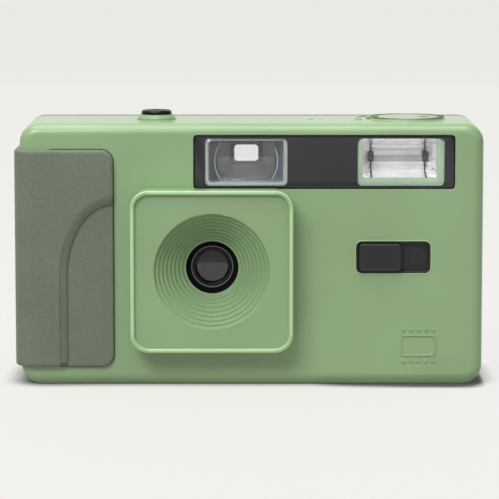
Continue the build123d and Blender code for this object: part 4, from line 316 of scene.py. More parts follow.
board, lacquer, place = new_finish("flash board lacquer", tone(32, 92, 50), 0.3, Coat_Weight=0.5)
tracks = add_node(board, "TexBrick", Scale=420.0, Mortar_Size=0.03)
finishes["circuit_board"] = patterned(board, lacquer, place, tracks, tone(30, 88, 48),
                                      tone(70, 128, 74), 0.03)
WIRE_PITCH = 0.28
coil, enamel, place = new_finish("enamelled winding", tone(150, 92, 42), 0.35, Metallic=0.6)
turns = add_node(coil, "TexWave", {"bands_direction": "Z"},
                 Scale=math.tau / (20 * WIRE_PITCH * MM))
finishes["winding"] = patterned(coil, enamel, place, turns, tone(92, 50, 22), tone(196, 124, 60),
                                0.08)
finishes["capacitor_sleeve"] = moulded("capacitor sleeve", tone(38, 44, 84), 0.3, grain_mm=1.4)
finishes["cell_wrap"] = moulded("plain cell wrap", tone(196, 198, 202), 0.25, grain_mm=1.0,
                                grain_depth=0.004)
print("finishes:", len(finishes))

# %% [markdown]
# ## Modelling by hand, in code
# New pieces are modelled as in the viewport: a primitive is added at its size and place, its
# corners, edges or faces are picked, and the edit tools shape it. With no mouse, a face is picked
# by what is known of it, its place and its direction. Every piece ends with its object at the
# origin and its place in its mesh, as the CAD nodes have it.

# %% Helpers for picking and finishing a piece
def leave_piece():
    """Leaves edit mode and selects nothing, before another piece is begun."""
    if bpy.context.object and bpy.context.object.mode != "OBJECT":
        bpy.ops.object.mode_set(mode="OBJECT")
    bpy.ops.object.select_all(action="DESELECT")


def only(piece):
    """Makes one piece the only one that operators act on."""
    leave_piece()
    piece.select_set(True)
    bpy.context.view_layer.objects.active = piece


def settle(piece, name):
    """Names a new piece, puts its place into its mesh and opens it in edit mode."""
    piece.name = piece.data.name = name
    only(piece)
    bpy.ops.object.transform_apply(location=True, rotation=True, scale=True)
    bpy.ops.object.mode_set(mode="EDIT")
    return piece


def pick(kind, wanted, only_open=False):
    """Selects the parts of the open piece that pass a test, in millimetres. The test is given a
    corner's place, the places of an edge's two ends, or a face's middle and its direction. Open
    edges have a face on one side only."""
    bpy.ops.mesh.select_mode(type=kind)
    bpy.ops.mesh.select_all(action="DESELECT")
    mesh = bpy.context.object.data
    shape = bmesh.from_edit_mesh(mesh)
    for part in {"VERT": shape.verts, "EDGE": shape.edges, "FACE": shape.faces}[kind]:
        if kind == "FACE":
            known = (part.calc_center_median() / MM, part.normal)
        else:
            known = [corner.co / MM for corner in (part.verts if kind == "EDGE" else [part])]
        if wanted(*known) and (not only_open or part.is_boundary):
            part.select_set(True)
    bmesh.update_edit_mesh(mesh)


def extrude(shift_mm, edges=False):
    """Extrudes the picked faces, or the picked edges, by a shift in millimetres."""
    tool = bpy.ops.mesh.extrude_edges_move if edges else bpy.ops.mesh.extrude_region_move
    tool(TRANSFORM_OT_translate={"value": Vector(shift_mm) * MM})


def merge_doubles():
    """Selects the whole of the open piece and merges corners that lie in the same place."""
    bpy.ops.mesh.select_all(action="SELECT")
    bpy.ops.mesh.remove_doubles(threshold=0.002 * MM)


def outward():
    """Merges doubled corners of the open piece and turns its faces outwards."""
    merge_doubles()
    bpy.ops.mesh.normals_make_consistent(inside=False)


def dress(piece, slot_name, body, *stands_for, smooth=35, finish=None):
    """Gives a piece its finish, its smoothing and its body, and hides the nodes it stands for."""
    only(piece)
    piece.data.materials.clear()
    piece.data.materials.append(finishes[finish or slot_name])
    bpy.ops.object.shade_smooth_by_angle(angle=math.radians(smooth))
    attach(piece, body)
    if stands_for:
        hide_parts(*stands_for)
    print(f"{piece.name}: {len(piece.data.polygons)} faces")


def twin(piece, name, shift_mm=(0, 0, 0), turn=None):
    """A copy with its own mesh, moved and, if asked, turned by (degrees, centre in mm)."""
    only(piece)
    bpy.ops.object.duplicate(linked=False)
    copy = bpy.context.object
    copy.name = copy.data.name = name
    copy.data.transform(Matrix.Translation(Vector(shift_mm) * MM))
    if turn:
        degrees, centre = turn
        centre = Vector(centre) * MM
        copy.data.transform(Matrix.Translation(centre)
                            @ Matrix.Rotation(math.radians(degrees), 4, "Z")
                            @ Matrix.Translation(-centre))
    return copy


def joined(pieces, name):
    """Joins several pieces into the first one."""
    only(pieces[0])
    for piece in pieces[1:]:
        piece.select_set(True)
    bpy.ops.object.join()
    whole = bpy.context.object
    whole.name = whole.data.name = name
    return whole


def thicken(piece, thickness_mm, offset):
    """Gives a bare surface a thickness, to its inside (-1), its outside (1) or both (0)."""
    only(piece)
    wall = piece.modifiers.new("wall", "SOLIDIFY")
    wall.thickness, wall.offset = thickness_mm * MM, offset
    bpy.ops.object.modifier_apply(modifier=wall.name)


def box_of(node):
    """The two outer corners of a node, in millimetres."""
    return [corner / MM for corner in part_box(node)]

# %% [markdown]
# ## Turned and slab shapes
# Most camera parts start in one of two ways. A round part is a half profile, drawn corner by
# corner and spun about its axis, as on a lathe. A flat part is a block whose upright edges are
# bevelled round. Both come back open in edit mode, ready for more work.

# %% Drawn, turned and slab starts
def drawn(name, points):
    """A line through points in metres: a tiny plane, merged to one corner that is extruded on."""
    leave_piece()
    bpy.ops.mesh.primitive_plane_add(size=0.1 * MM, location=points[0])
    piece = settle(bpy.context.object, name)
    bpy.ops.mesh.select_mode(type="VERT")
    bpy.ops.mesh.select_all(action="SELECT")
    bpy.ops.mesh.merge(type="CENTER")
    for before, after in zip(points, points[1:]):
        bpy.ops.mesh.extrude_vertices_move(TRANSFORM_OT_translate={"value": after - before})
    bpy.ops.mesh.select_all(action="SELECT")
    return piece


def turned(name, profile, centre, axis="Y", steps=96):
    """Spins a half profile, given as (radius, place along the axis) in millimetres."""
    centre = Vector(centre)
    along = Vector([float(axis == letter) for letter in "XYZ"])
    across = Vector((0, 0, 1)) if axis == "X" else Vector((1, 0, 0))
    piece = drawn(name, [(centre + across * radius + along * step) * MM
                         for radius, step in profile])
    bpy.ops.mesh.spin(steps=steps, angle=math.tau, center=centre * MM, axis=along)
    outward()
    return piece


def slab(name, low, high, corner_mm=0.0, along="Y", segments=8):
    """A block between two corners, with the edges along one axis rounded."""
    low, high = Vector(low), Vector(high)
    leave_piece()
    bpy.ops.mesh.primitive_cube_add(size=1.0, location=(low + high) / 2 * MM,
                                    scale=(high - low) * MM)
    piece = settle(bpy.context.object, name)
    if corner_mm:
        others = [number for number in range(3) if "XYZ"[number] != along]
        pick("EDGE", lambda a, b: all(abs(a[n] - b[n]) < 0.001 for n in others))
        bpy.ops.mesh.bevel(offset=corner_mm * MM, segments=segments, affect="EDGES")
    return piece


def soften(width_mm, sharper_than=60, segments=2):
    """Bevels every edge of the open piece that is sharper than an angle."""
    bpy.ops.mesh.select_mode(type="EDGE")
    bpy.ops.mesh.select_all(action="DESELECT")
    bpy.ops.mesh.edges_select_sharp(sharpness=math.radians(sharper_than))
    bpy.ops.mesh.bevel(offset=width_mm * MM, segments=segments, affect="EDGES",
                       clamp_overlap=True)

# %% [markdown]
# ## The stepped lens panel
# The panel is the face of the camera: a rounded square that stands 6 mm proud, with a thin raised
# rim, and a round funnel that steps down in eight rings to the lens. The steps keep stray light
# from glancing off the funnel's wall into the lens. The square is made from a block by insets and
# extrusions, and the funnel is turned. A bridge joins its outer ring to the square's inner face,
# and a narrow bevel rounds each step. The risers lean a little, as they must to leave the mould,
# and each step has a low lip, so one side of it catches the light and the other lies in shade.

# %% Model the panel's rounded square
PANEL_X, PANEL_Z, PANEL_HALF, PANEL_CORNER = -9.75, 28.75, 19.9, 4.4
PANEL_FRONT, PANEL_FACE, PANEL_BACK = -22.9, -21.9, -16.5
RIM_WIDTH, RIM_BEAD, PANEL_WALL = 0.95, 0.33, 1.4

lens_panel = slab("lens_panel_stepped",
                  (PANEL_X - PANEL_HALF, PANEL_FRONT, PANEL_Z - PANEL_HALF),
                  (PANEL_X + PANEL_HALF, PANEL_BACK, PANEL_Z + PANEL_HALF), PANEL_CORNER,
                  segments=12)
for way, border, depth in ((-1, RIM_WIDTH, PANEL_FACE - PANEL_FRONT),
                           (1, PANEL_WALL, PANEL_FACE + PANEL_WALL - PANEL_BACK)):
    pick("FACE", lambda middle, normal: normal.y * way > 0.9)
    bpy.ops.mesh.inset(thickness=border * MM)
    extrude((0, depth, 0))
    bpy.ops.mesh.delete(type="FACE")
pick("EDGE", lambda a, b: max(a.y, b.y) < PANEL_FRONT + 0.01)
bpy.ops.mesh.bevel(offset=RIM_BEAD * MM, segments=6, affect="EDGES")
print("rim, mm:", RIM_WIDTH, "wide and", round(PANEL_FACE - PANEL_FRONT, 2), "high")

# %% Turn the funnel and bridge it to the square
FUNNEL_R, MOUTH_R, FUNNEL_DEPTH, FUNNEL_STEPS = 14.2, 6.5, 8.6, 8
STEP_IN = (FUNNEL_R - MOUTH_R) / FUNNEL_STEPS
STEP_BACK = FUNNEL_DEPTH / FUNNEL_STEPS
STEP_LEAN, STEP_LIP = 0.45 * STEP_IN, 0.22

funnel_line = [(FUNNEL_R + 0.35, PANEL_FACE), (FUNNEL_R, PANEL_FACE)]
for ring in range(FUNNEL_STEPS):
    radius = FUNNEL_R - ring * STEP_IN
    depth = PANEL_FACE + (ring + 1) * STEP_BACK
    lip = STEP_LIP if ring < FUNNEL_STEPS - 1 else 0
    funnel_line += [(radius - STEP_LEAN, depth + lip), (radius - STEP_IN, depth)]
mouth_y = funnel_line[-1][1] + 0.1
funnel_line += [(MOUTH_R, mouth_y), (MOUTH_R + PANEL_WALL, mouth_y),
                (FUNNEL_R + PANEL_WALL, PANEL_FACE + PANEL_WALL)]
funnel = turned("lens_funnel", funnel_line, (PANEL_X, 0, PANEL_Z), steps=128)
soften(0.07, 20)

lens_panel = joined([lens_panel, funnel], "lens_panel_stepped")
bpy.ops.object.mode_set(mode="EDIT")
for level in (PANEL_FACE, PANEL_FACE + PANEL_WALL):
    pick("EDGE", lambda a, b: max(abs(a.y - level), abs(b.y - level)) < 0.01, only_open=True)
    bpy.ops.mesh.bridge_edge_loops()
outward()

# %% Paint a highlight on its rim
def polished_rim(finish, behind_mm, colour, blur_mm=0.12):
    """Gives a lighter colour to all that stands before a place: a painted highlight on the rim."""
    surface = finish.node_tree.nodes["Principled BSDF"]
    plain = surface.inputs["Base Color"].links[0].from_socket
    place = add_node(finish, "SeparateXYZ", Vector=add_node(finish, "TexCoord").outputs["Object"])
    share = ranged(finish, place.outputs["Y"], (behind_mm - blur_mm) * MM,
                   (behind_mm + blur_mm) * MM, 1.0, 0.0)
    feed(finish, surface, Base_Color=tint(finish, share, plain, colour))
    return finish

# the lighter green before the rim's front is a painted highlight
finishes["panel_green"] = polished_rim(
    moulded("satin green panel", GREEN, GREEN_GLOSS, edge_mm=0.1, edge_light=1.5, edge_share=0.8),
    PANEL_FRONT + 0.5, shade(GREEN, 1.75))
dress(lens_panel, "green_shell", "camera_body", "lens_panel", smooth=30, finish="panel_green")

# %% [markdown]
# ## The lens
# Behind the funnel sit a black barrel, a dark ring that screws in to hold the glass, and the front
# element. The ring is turned with rounded lips, and two notches are cut into it for the spanner
# that tightens it. The barrel's mouth is the blackest thing on the camera, because its flocked
# paint is there to swallow light. The glass is ground with a gentle crown: its upper half mirrors
# the dark room and its lower half the bright table. The line between them makes it read as glass.

# %% Paint the barrel and turn the retaining ring
finishes["lens_black"] = moulded("flocked lens black", tone(13, 13, 14), 0.7, grain_mm=0.18,
                                 grain_depth=0.02, edge_light=2.5, edge_share=0.4,
                                 Specular_IOR_Level=0.12)
finishes["lens_lip"] = moulded("satin lens lip", tone(128, 128, 134), 0.4, grain_mm=0.2,
                               grain_depth=0.005, edge_light=1.2)
LENS_CENTRE = (PANEL_X, 0, PANEL_Z)
ring_low, ring_high = box_of("lens_retaining_ring")
RING_OUTER, RING_INNER, RING_LIP = (ring_high.x - ring_low.x) / 2, 4.0, 0.25
lens_ring = turned("lens_ring_turned",
                   [(RING_INNER + RING_LIP, ring_low.y), (RING_OUTER, ring_low.y),
                    (RING_OUTER, ring_high.y), (RING_INNER, ring_high.y),
                    (RING_INNER, ring_low.y + RING_LIP), (RING_INNER + RING_LIP, ring_low.y)],
                   LENS_CENTRE, steps=120)
NOTCH_HALF, NOTCH_DEPTH = 0.28, 0.3
pick("FACE", lambda middle, normal: normal.y < -0.9 and abs(middle.z - PANEL_Z) < NOTCH_HALF
     and abs(middle.x - PANEL_X) > RING_INNER + 0.3)
extrude((0, NOTCH_DEPTH, 0))
soften(0.05, 30)
dress(lens_ring, "grey_metal", "camera_body", "lens_retaining_ring", smooth=40)

LIP_R, LIP_WIDE, LIP_Y, LIP_HIGH = 5.25, 0.3, -11.45, 0.25
lens_lip = turned("lens_lip",
                  [(LIP_R - LIP_WIDE, LIP_Y), (LIP_R, LIP_Y), (LIP_R, LIP_Y - LIP_HIGH),
                   (LIP_R - LIP_WIDE * 0.5, LIP_Y - LIP_HIGH - 0.1),
                   (LIP_R - LIP_WIDE, LIP_Y - LIP_HIGH), (LIP_R - LIP_WIDE, LIP_Y)],
                  LENS_CENTRE, steps=120)
dress(lens_lip, "black_plastic", "camera_body", smooth=60, finish="lens_lip")

# %% Grind the front element
GLASS_R, GLASS_FRONT, GLASS_CROWN, GLASS_THICK, GLASS_BACK = 4.8, -11.3, 0.75, 1.6, 0.3

def crown(radius, height, edge):
    """How far a gentle dome stands above its edge at a radius."""
    return height * (1 - (radius / edge) ** 2)

glass_line = [(radius, GLASS_FRONT + GLASS_CROWN - crown(radius, GLASS_CROWN, GLASS_R))
              for radius in (0, 0.8, 1.6, 2.4, 3.2, 4.0, GLASS_R)]
glass_line += [(radius, GLASS_FRONT + GLASS_THICK - crown(radius, GLASS_BACK, GLASS_R))
               for radius in (GLASS_R, 3.6, 2.4, 1.2, 0)]
dress(turned("lens_front_element", glass_line, LENS_CENTRE, steps=72),
      "lens_glass", "camera_body", "lens_element", smooth=50)

# %% [markdown]
# ## The window strip
# A smoked strip runs across the top of the front, and two clear blocks stand in its openings. The
# strip is a thin block with round corners. Rounded cutters take the openings out of it with a
# Boolean modifier, and its front edges are bevelled, which gives the thin bright line along the
# top. It is a little smaller than its seat, and the shadow in the gap between them is painted: a
# flocked black frame lies behind the gap.

# %% Helpers for rounded openings and frames
def cut_out(piece, openings, corner_mm, round_mm=0.06):
    """Cuts rounded openings, each given by two corners, out of a piece, and rounds its edges."""
    for low, high in openings:
        cutter = slab("cutter", low, high, corner_mm, segments=6)
        only(piece)
        opening = piece.modifiers.new("opening", "BOOLEAN")
        opening.operation, opening.object, opening.solver = "DIFFERENCE", cutter, "EXACT"
        bpy.ops.object.modifier_apply(modifier=opening.name)
        bpy.data.objects.remove(cutter, do_unlink=True)
    bpy.ops.object.mode_set(mode="EDIT")
    merge_doubles()
    soften(round_mm)


def window_frame(name, low, high, border_mm, corner_mm, round_mm, round_steps=2):
    """A flat frame with round corners and edges, open in the middle."""
    frame_piece = slab(name, low, high, corner_mm, segments=6)
    pick("FACE", lambda middle, normal: abs(normal.y) > 0.9)
    bpy.ops.mesh.inset(thickness=border_mm * MM)
    bpy.ops.mesh.bridge_edge_loops()
    outward()
    soften(round_mm, segments=round_steps)
    return frame_piece

# %% Cut the strip
strip_low, strip_high = box_of("window_strip")
finder_box, flash_box = box_of("viewfinder_window"), box_of("flash_window")
STRIP_GAP, STRIP_CORNER, OPENING_CORNER = 0.2, 0.9, 1.15
around, through = Vector((STRIP_GAP, 0, STRIP_GAP)), Vector((0, 1, 0))
strip = slab("window_strip_smoked", strip_low + around, strip_high - around, STRIP_CORNER)
cut_out(strip, [(low - through, high + through) for low, high in (finder_box, flash_box)],
        OPENING_CORNER, round_mm=0.1)
dress(strip, "window_black", "camera_body", "window_strip", smooth=40)

# a flocked black frame behind the gap: painted shade for the shadow in it
strip_gap_shade = window_frame("window_strip_gap_shade", (strip_low.x, strip_high.y - 0.4, strip_low.z),
                          strip_high, 0.5, 1.0, round_mm=0.06)
dress(strip_gap_shade, "black_plastic", "camera_body", finish="lens_black")

# %% [markdown]
# ## The two clear blocks
# Each block has a border that slopes back, like a cut stone. Behind the border sits the frosted
# flange that it is glued by, which is why the border looks paler than what is inside it.

# %% Model the blocks and their frosted flanges
PANE_SLOPE, PANE_CORNER, HOLE_CORNER, FLANGE = 0.4, 1.1, 0.7, 0.45

for name, (low, high), border in (("viewfinder", finder_box, 0.85), ("flash", flash_box, 0.6)):
    block = slab(name + "_pane", (low.x, low.y + PANE_SLOPE, low.z),
                 (high.x, high.y - FLANGE, high.z), PANE_CORNER, segments=6)
    pick("FACE", lambda middle, normal: normal.y < -0.9)
    bpy.ops.mesh.inset(thickness=border * MM, depth=PANE_SLOPE * MM)
    dress(block, "clear_plastic", "camera_body", name + "_window", smooth=10)

for frosted, (low, high), colour, (left, right, bottom, top) in (
        ("viewfinder_flange", finder_box, tone(150, 162, 154), (-10.55, 7.85, 50.2, 60.2)),
        ("flash_flange", flash_box, tone(142, 164, 138), (27.1, 45.35, 51.25, 60.75))):
    finishes[frosted] = moulded(frosted, colour, 0.35, grain_mm=0.3, drift=0.1, edge_mm=0.12)
    flange = slab(frosted, (low.x, high.y - FLANGE + 0.02, low.z), high, PANE_CORNER, segments=6)
    cut_out(flange, [((left, low.y - 1, bottom), (right, high.y + 1, top))], HOLE_CORNER)
    dress(flange, "clear_plastic", "camera_body", finish=frosted)

# %% [markdown]
# ## The viewfinder
# A round lens with its top and bottom cut off stands behind the block. Through it the eye sees down
# a grey tunnel to the eyepiece, a small bright rounded opening. The lens is a shell of even
# thickness, as in a plain finder, so it bends the view very little, and its rim draws the two
# curved lines that the photograph shows. The tunnel is a block whose two ends are opened and whose
# far end is scaled down, so its four walls run to the eye like a funnel.

# %% Model the finder lens
FINDER_X, FINDER_Z = -1.35, 55.15
LENS_ROUND, LENS_CUT, LENS_SAG, LENS_THICK = 7.6, 4.6, 1.0, 0.8
RIM_LOW, RIM_HIGH = LENS_ROUND + 0.03, LENS_ROUND + 0.3

def finder_round(name, profile):
    """Turns a piece about the finder's axis, and cuts its top and its bottom off."""
    piece = turned(name, profile, (FINDER_X, 0, FINDER_Z))
    for side in (1, -1):
        bpy.ops.mesh.select_all(action="SELECT")
        bpy.ops.mesh.bisect(plane_co=Vector((0, 0, FINDER_Z + side * LENS_CUT)) * MM,
                            plane_no=(0, 0, side), use_fill=True, clear_outer=True)
    outward()
    return piece

front = box_of("viewfinder_objective")[0].y - 0.3
edge_y = front + LENS_SAG + 0.1
finder_line = [(radius, front + LENS_SAG - crown(radius, LENS_SAG, LENS_ROUND))
               for radius in (0, 1.5, 3, 4.5, 6, LENS_ROUND - 0.2)] + [(LENS_ROUND, edge_y)]
finder_line += [(radius, step + LENS_THICK) for radius, step in reversed(finder_line)]
finishes["finder_glass"] = clear("coated finder lens", tone(252, 252, 254), 0.02, 1.6, 0.0005)
dress(finder_round("viewfinder_lens", finder_line), "clear_plastic", "camera_body",
      "viewfinder_objective", smooth=40, finish="finder_glass")
dress(finder_round("viewfinder_lens_edge",
                   [(RIM_LOW, edge_y), (RIM_HIGH, edge_y), (RIM_HIGH, edge_y + LENS_THICK),
                    (RIM_LOW, edge_y + LENS_THICK), (RIM_LOW, edge_y)]),
      "clear_plastic", "camera_body", smooth=40, finish="viewfinder_flange")

# %% Model the tunnel and the eyepiece mask
finishes["finder_grey"] = moulded("finder tunnel grey", tone(107, 113, 128), 0.5, drift=0.1)
TUNNEL_FRONT, TUNNEL_HALF, TUNNEL_HIGH, TUNNEL_WALL = -14.3, 9.15, 5.0, 0.5
EYE_Y, EYE_Z, EYE_HALF, EYE_HIGH = 11.6, 55.0, 3.0, 2.05
tunnel = slab("viewfinder_tunnel_grey",
              (FINDER_X - TUNNEL_HALF, TUNNEL_FRONT, FINDER_Z - TUNNEL_HIGH),
              (FINDER_X + TUNNEL_HALF, EYE_Y, FINDER_Z + TUNNEL_HIGH), 0.6, segments=5)
pick("VERT", lambda corner: corner.y > 0)
bpy.ops.transform.resize(value=((EYE_HALF + 0.8) / TUNNEL_HALF, 1, (EYE_HIGH + 0.7) / TUNNEL_HIGH),
                         center_override=Vector((FINDER_X, EYE_Y, FINDER_Z)) * MM)
bpy.ops.transform.translate(value=(0, 0, (EYE_Z - FINDER_Z) * MM))
pick("FACE", lambda middle, normal: abs(normal.y) > 0.99)
bpy.ops.mesh.delete(type="FACE")
outward()
thicken(tunnel, TUNNEL_WALL, 1.0)
dress(tunnel, "black_plastic", "camera_body", "viewfinder_tunnel", finish="finder_grey")

def around_eye(wider, higher, front_y, back_y):
    """Two corners of a block round the eyepiece's axis, wider and higher than its opening."""
    return ((FINDER_X - EYE_HALF - wider, front_y, EYE_Z - EYE_HIGH - higher),
            (FINDER_X + EYE_HALF + wider, back_y, EYE_Z + EYE_HIGH + higher))

mask = slab("eyepiece_mask", *around_eye(1.2, 1.1, EYE_Y, EYE_Y + 0.6), 1.2, segments=5)
cut_out(mask, [around_eye(0, 0, EYE_Y - 1, EYE_Y + 2)], 0.85, round_mm=0.12)
dress(mask, "black_plastic", "camera_body", finish="finder_grey")

# %% [markdown]
# ## The flash
# The reflector is a bright trough pressed from thin foil. Its back is a row of shallow ribs, which
# spread the light up and down. A slit at each end parts it from the cheeks that flare out to the
# window, and the slit's faces are painted dark as the shade in it. Pressing has left the cheeks
# crinkled, so they glitter. The faces are turned the right way while the foil is still smooth, and
# the corners are sorted by their distance before they are moved at random, so the crinkles come out
# the same each time. The quartz tube runs across the trough, with a metal cap at each end.

# %% Press the reflector
MOUTH_Y, BACK_Y, MOUTH_LOW, MOUTH_HIGH, MOUTH_MIDDLE = -15.2, -8.6, 51.2, 60.9, 56.0
TROUGH_LEFT, TROUGH_RIGHT, MOUTH_LEFT, MOUTH_RIGHT = 29.6, 42.6, 27.0, 45.4
STRIPS, RIB_BULGE, RIB_STEPS = 10, 0.2, 4
SLIT_DEPTH, SLIT_WIDE, SLIT_LEAN = 0.9, 0.4, 0.02

def crease(number):
    """Where a crease between two ribs lies, on a line that bows back from the mouth."""
    way = number / STRIPS
    bow = (1 - (2 * way - 1) ** 4) ** 0.75
    return Vector((TROUGH_LEFT, MOUTH_Y + (BACK_Y - MOUTH_Y) * bow,
                   MOUTH_HIGH + (MOUTH_LOW - MOUTH_HIGH) * way))

section = [crease(rib).lerp(crease(rib + 1), step / RIB_STEPS)
           - Vector((0, RIB_BULGE * math.sin(math.pi * step / RIB_STEPS), 0))
           for rib in range(STRIPS) for step in range(RIB_STEPS)] + [crease(STRIPS)]
reflector = drawn("flash_trough", [point * MM for point in section])
extrude((TROUGH_RIGHT - TROUGH_LEFT, 0, 0), edges=True)
for edge_x, mouth_x in ((TROUGH_LEFT, MOUTH_LEFT), (TROUGH_RIGHT, MOUTH_RIGHT)):
    out = 1 if mouth_x > edge_x else -1
    pick("EDGE", lambda a, b: max(abs(a.x - edge_x), abs(b.x - edge_x)) < 0.01, only_open=True)
    for step_x, step_y in ((SLIT_LEAN, SLIT_DEPTH), (SLIT_WIDE, 0), (SLIT_LEAN, -SLIT_DEPTH)):
        extrude((out * step_x, step_y, 0), edges=True)
    extrude((mouth_x - edge_x - out * (SLIT_WIDE + 2 * SLIT_LEAN), 0, 0), edges=True)
    bpy.ops.transform.resize(value=(1, 0, 1),
                             center_override=Vector((mouth_x, MOUTH_Y, MOUTH_MIDDLE)) * MM)

# %% Crinkle its cheeks and paint shade into each slit
FOIL, CRINKLE, SMOOTH_RIM = 0.25, 0.35, 0.5
outward()
bpy.ops.mesh.flip_normals()
for low_x, high_x in ((MOUTH_LEFT, TROUGH_LEFT), (TROUGH_RIGHT, MOUTH_RIGHT)):
    pick("FACE", lambda middle, normal: low_x + SMOOTH_RIM < middle.x < high_x - SMOOTH_RIM)
    bpy.ops.mesh.subdivide(number_cuts=2)
    pick("VERT", lambda corner: low_x + SMOOTH_RIM < corner.x < high_x - SMOOTH_RIM)
    bpy.ops.mesh.sort_elements(type="CURSOR_DISTANCE", elements={"VERT"})
    bpy.ops.transform.vertex_random(offset=CRINKLE * MM, seed=7)
pick("FACE", lambda middle, normal: TROUGH_LEFT - SLIT_WIDE - 0.05 < middle.x < TROUGH_LEFT
     or TROUGH_RIGHT < middle.x < TROUGH_RIGHT + SLIT_WIDE + 0.05)
bpy.ops.mesh.separate(type="SELECTED")
shaded_slits = [piece for piece in bpy.context.selected_objects if piece != reflector][0]
shaded_slits.name = shaded_slits.data.name = "flash_trough_slit_shade"
for piece in (reflector, shaded_slits):
    thicken(piece, FOIL, -1.0)
dress(reflector, "mirror_chrome", "camera_body", "flash_reflector", smooth=8)
# the faces of each slit are painted dark, as the shade in the slit
dress(shaded_slits, "mirror_chrome", "camera_body", smooth=8, finish="blackened_steel")

# %% Cap the tube
TUBE_Y, TUBE_Z, TUBE_R, CAP_R = -10.1, 56.05, 0.95, 1.1
tube_end = turned("flash_tube_cap_left",
                  [(0, 28.6), (CAP_R, 28.6), (CAP_R, 29.7), (TUBE_R, 29.85), (TUBE_R, 30.1),
                   (0, 30.1)], (0, TUBE_Y, TUBE_Z), axis="X", steps=40)
soften(0.08, 30)
other_end = twin(tube_end, "flash_tube_cap_right",
                 turn=(180, ((TROUGH_LEFT + TROUGH_RIGHT) / 2, TUBE_Y, TUBE_Z)))
for cap in (tube_end, other_end):
    dress(cap, "nickel", "camera_body", finish="blackened_steel")

# %% [markdown]
# ## The top plate
# The shutter button is glossy black and dished for the fingertip, and stands in a green collar. The
# rewind knob lies flush in its round well, with the crank folded into it. Fingers turn the knob by
# its rim when the crank is folded, so the rim has fine knurls. The knob's own node is right as a
# shape, so the knurls are a separate ring of small ribs on it: one rib is modelled, and the others
# are copies turned about the knob's axis. The rim stays plain over the heel of the crank.

# %% Finish the button and the eyepiece glass
finishes["button_black"] = moulded("glossy button black", tone(15, 15, 16), 0.26, grain_mm=0.5,
                                   grain_depth=0.002, edge_light=2.0, edge_share=0.3,
                                   Specular_IOR_Level=0.25)
finishes["eyepiece_glass"] = clear("thin eyepiece glass", tone(253, 253, 254), 0.01, 1.25, 0.0005)

# %% Knurl the rewind knob
KNOB_X, KNOB_Y, KNOB_R, KNOB_TOP = 38.7, 1.8, 9.75, 65.0
KNURLS, KNURL_HALF, KNURL_LONG, KNURL_HIGH, CRANK_HEEL = 72, 0.17, 1.35, 0.1, 22
ribs = [slab("knurl", (KNOB_X + KNOB_R - KNURL_LONG, KNOB_Y - KNURL_HALF, KNOB_TOP - 0.02),
             (KNOB_X + KNOB_R - 0.12, KNOB_Y + KNURL_HALF, KNOB_TOP + KNURL_HIGH), 0.12,
             along="X", segments=2)]
for number in range(1, KNURLS):
    degrees = 360 * number / KNURLS
    if abs(degrees - 180) > CRANK_HEEL:
        ribs.append(twin(ribs[0], f"knurl_{number}", turn=(degrees, (KNOB_X, KNOB_Y, 0))))
dress(joined(ribs, "rewind_knob_knurls"), "green_shell", "rewind_knob", smooth=40)

# %% Turn the crank's little handle
HANDLE_X, HANDLE_R, HANDLE_LOW, HANDLE_TOP = 43.3, 2.4, 62.35, 64.9
STEM_R, SHOULDER, HANDLE_GROOVE = 1.4, 63.75, 63.15
handle = turned("crank_handle_turned",
                [(0, HANDLE_LOW), (HANDLE_R - 0.3, HANDLE_LOW), (HANDLE_R, HANDLE_LOW + 0.3),
                 (HANDLE_R, HANDLE_GROOVE - 0.15), (HANDLE_R - 0.2, HANDLE_GROOVE),
                 (HANDLE_R, HANDLE_GROOVE + 0.15), (HANDLE_R, SHOULDER), (STEM_R, SHOULDER),
                 (STEM_R, HANDLE_TOP), (0.9, HANDLE_TOP + 0.05), (0.6, HANDLE_TOP - 0.1),
                 (0, HANDLE_TOP - 0.1)], (HANDLE_X, KNOB_Y, 0), axis="Z", steps=48)
soften(0.06, 30)
dress(handle, "black_plastic", "crank_handle", "crank_handle", smooth=40)

# %% [markdown]
# ## The rewind arrow
# A curved arrow moulded beside the knob tells the hand which way the crank turns. It is a flat ring
# of which a sector is kept, with a three-sided head, and it stands a fifth of a millimetre proud of
# the top.

# %% Raise the rewind arrow
ARROW_R, ARROW_WIDE, ARROW_LOW, ARROW_HIGH = 12.3, 0.7, 64.45, 64.66
ARC_START, ARC_END, TIP_ANGLE = 150, 205, math.radians(146)

def arrow_head(name, place, radius_mm, height_mm, turn, round_mm):
    """A flat three-sided head at a place in millimetres."""
    leave_piece()
    bpy.ops.mesh.primitive_cylinder_add(vertices=3, radius=radius_mm * MM, depth=height_mm * MM,
                                        location=Vector(place) * MM, rotation=turn)
    head = settle(bpy.context.object, name)
    soften(round_mm, 30)
    return head

arc = turned("rewind_arrow", [(ARROW_R, ARROW_LOW), (ARROW_R + ARROW_WIDE, ARROW_LOW),
                              (ARROW_R + ARROW_WIDE, ARROW_HIGH), (ARROW_R, ARROW_HIGH),
                              (ARROW_R, ARROW_LOW)], (KNOB_X, KNOB_Y, 0), axis="Z")
for degrees, side in ((ARC_START, 1), (ARC_END, -1)):
    cut = math.radians(degrees)
    bpy.ops.mesh.select_all(action="SELECT")
    bpy.ops.mesh.bisect(plane_co=Vector((KNOB_X, KNOB_Y, 0)) * MM, use_fill=True, clear_inner=True,
                        plane_no=(-math.sin(cut) * side, math.cos(cut) * side, 0))
outward()
tip = (KNOB_X + math.cos(TIP_ANGLE) * (ARROW_R + ARROW_WIDE / 2),
       KNOB_Y + math.sin(TIP_ANGLE) * (ARROW_R + ARROW_WIDE / 2),
       (ARROW_LOW + ARROW_HIGH) / 2 + 0.02)
head = arrow_head("arrow_head", tip, 1.15, ARROW_HIGH - ARROW_LOW, (0, 0, TIP_ANGLE), 0.05)
dress(joined([arc, head], "rewind_arrow"), "green_shell", "camera_body", smooth=30)

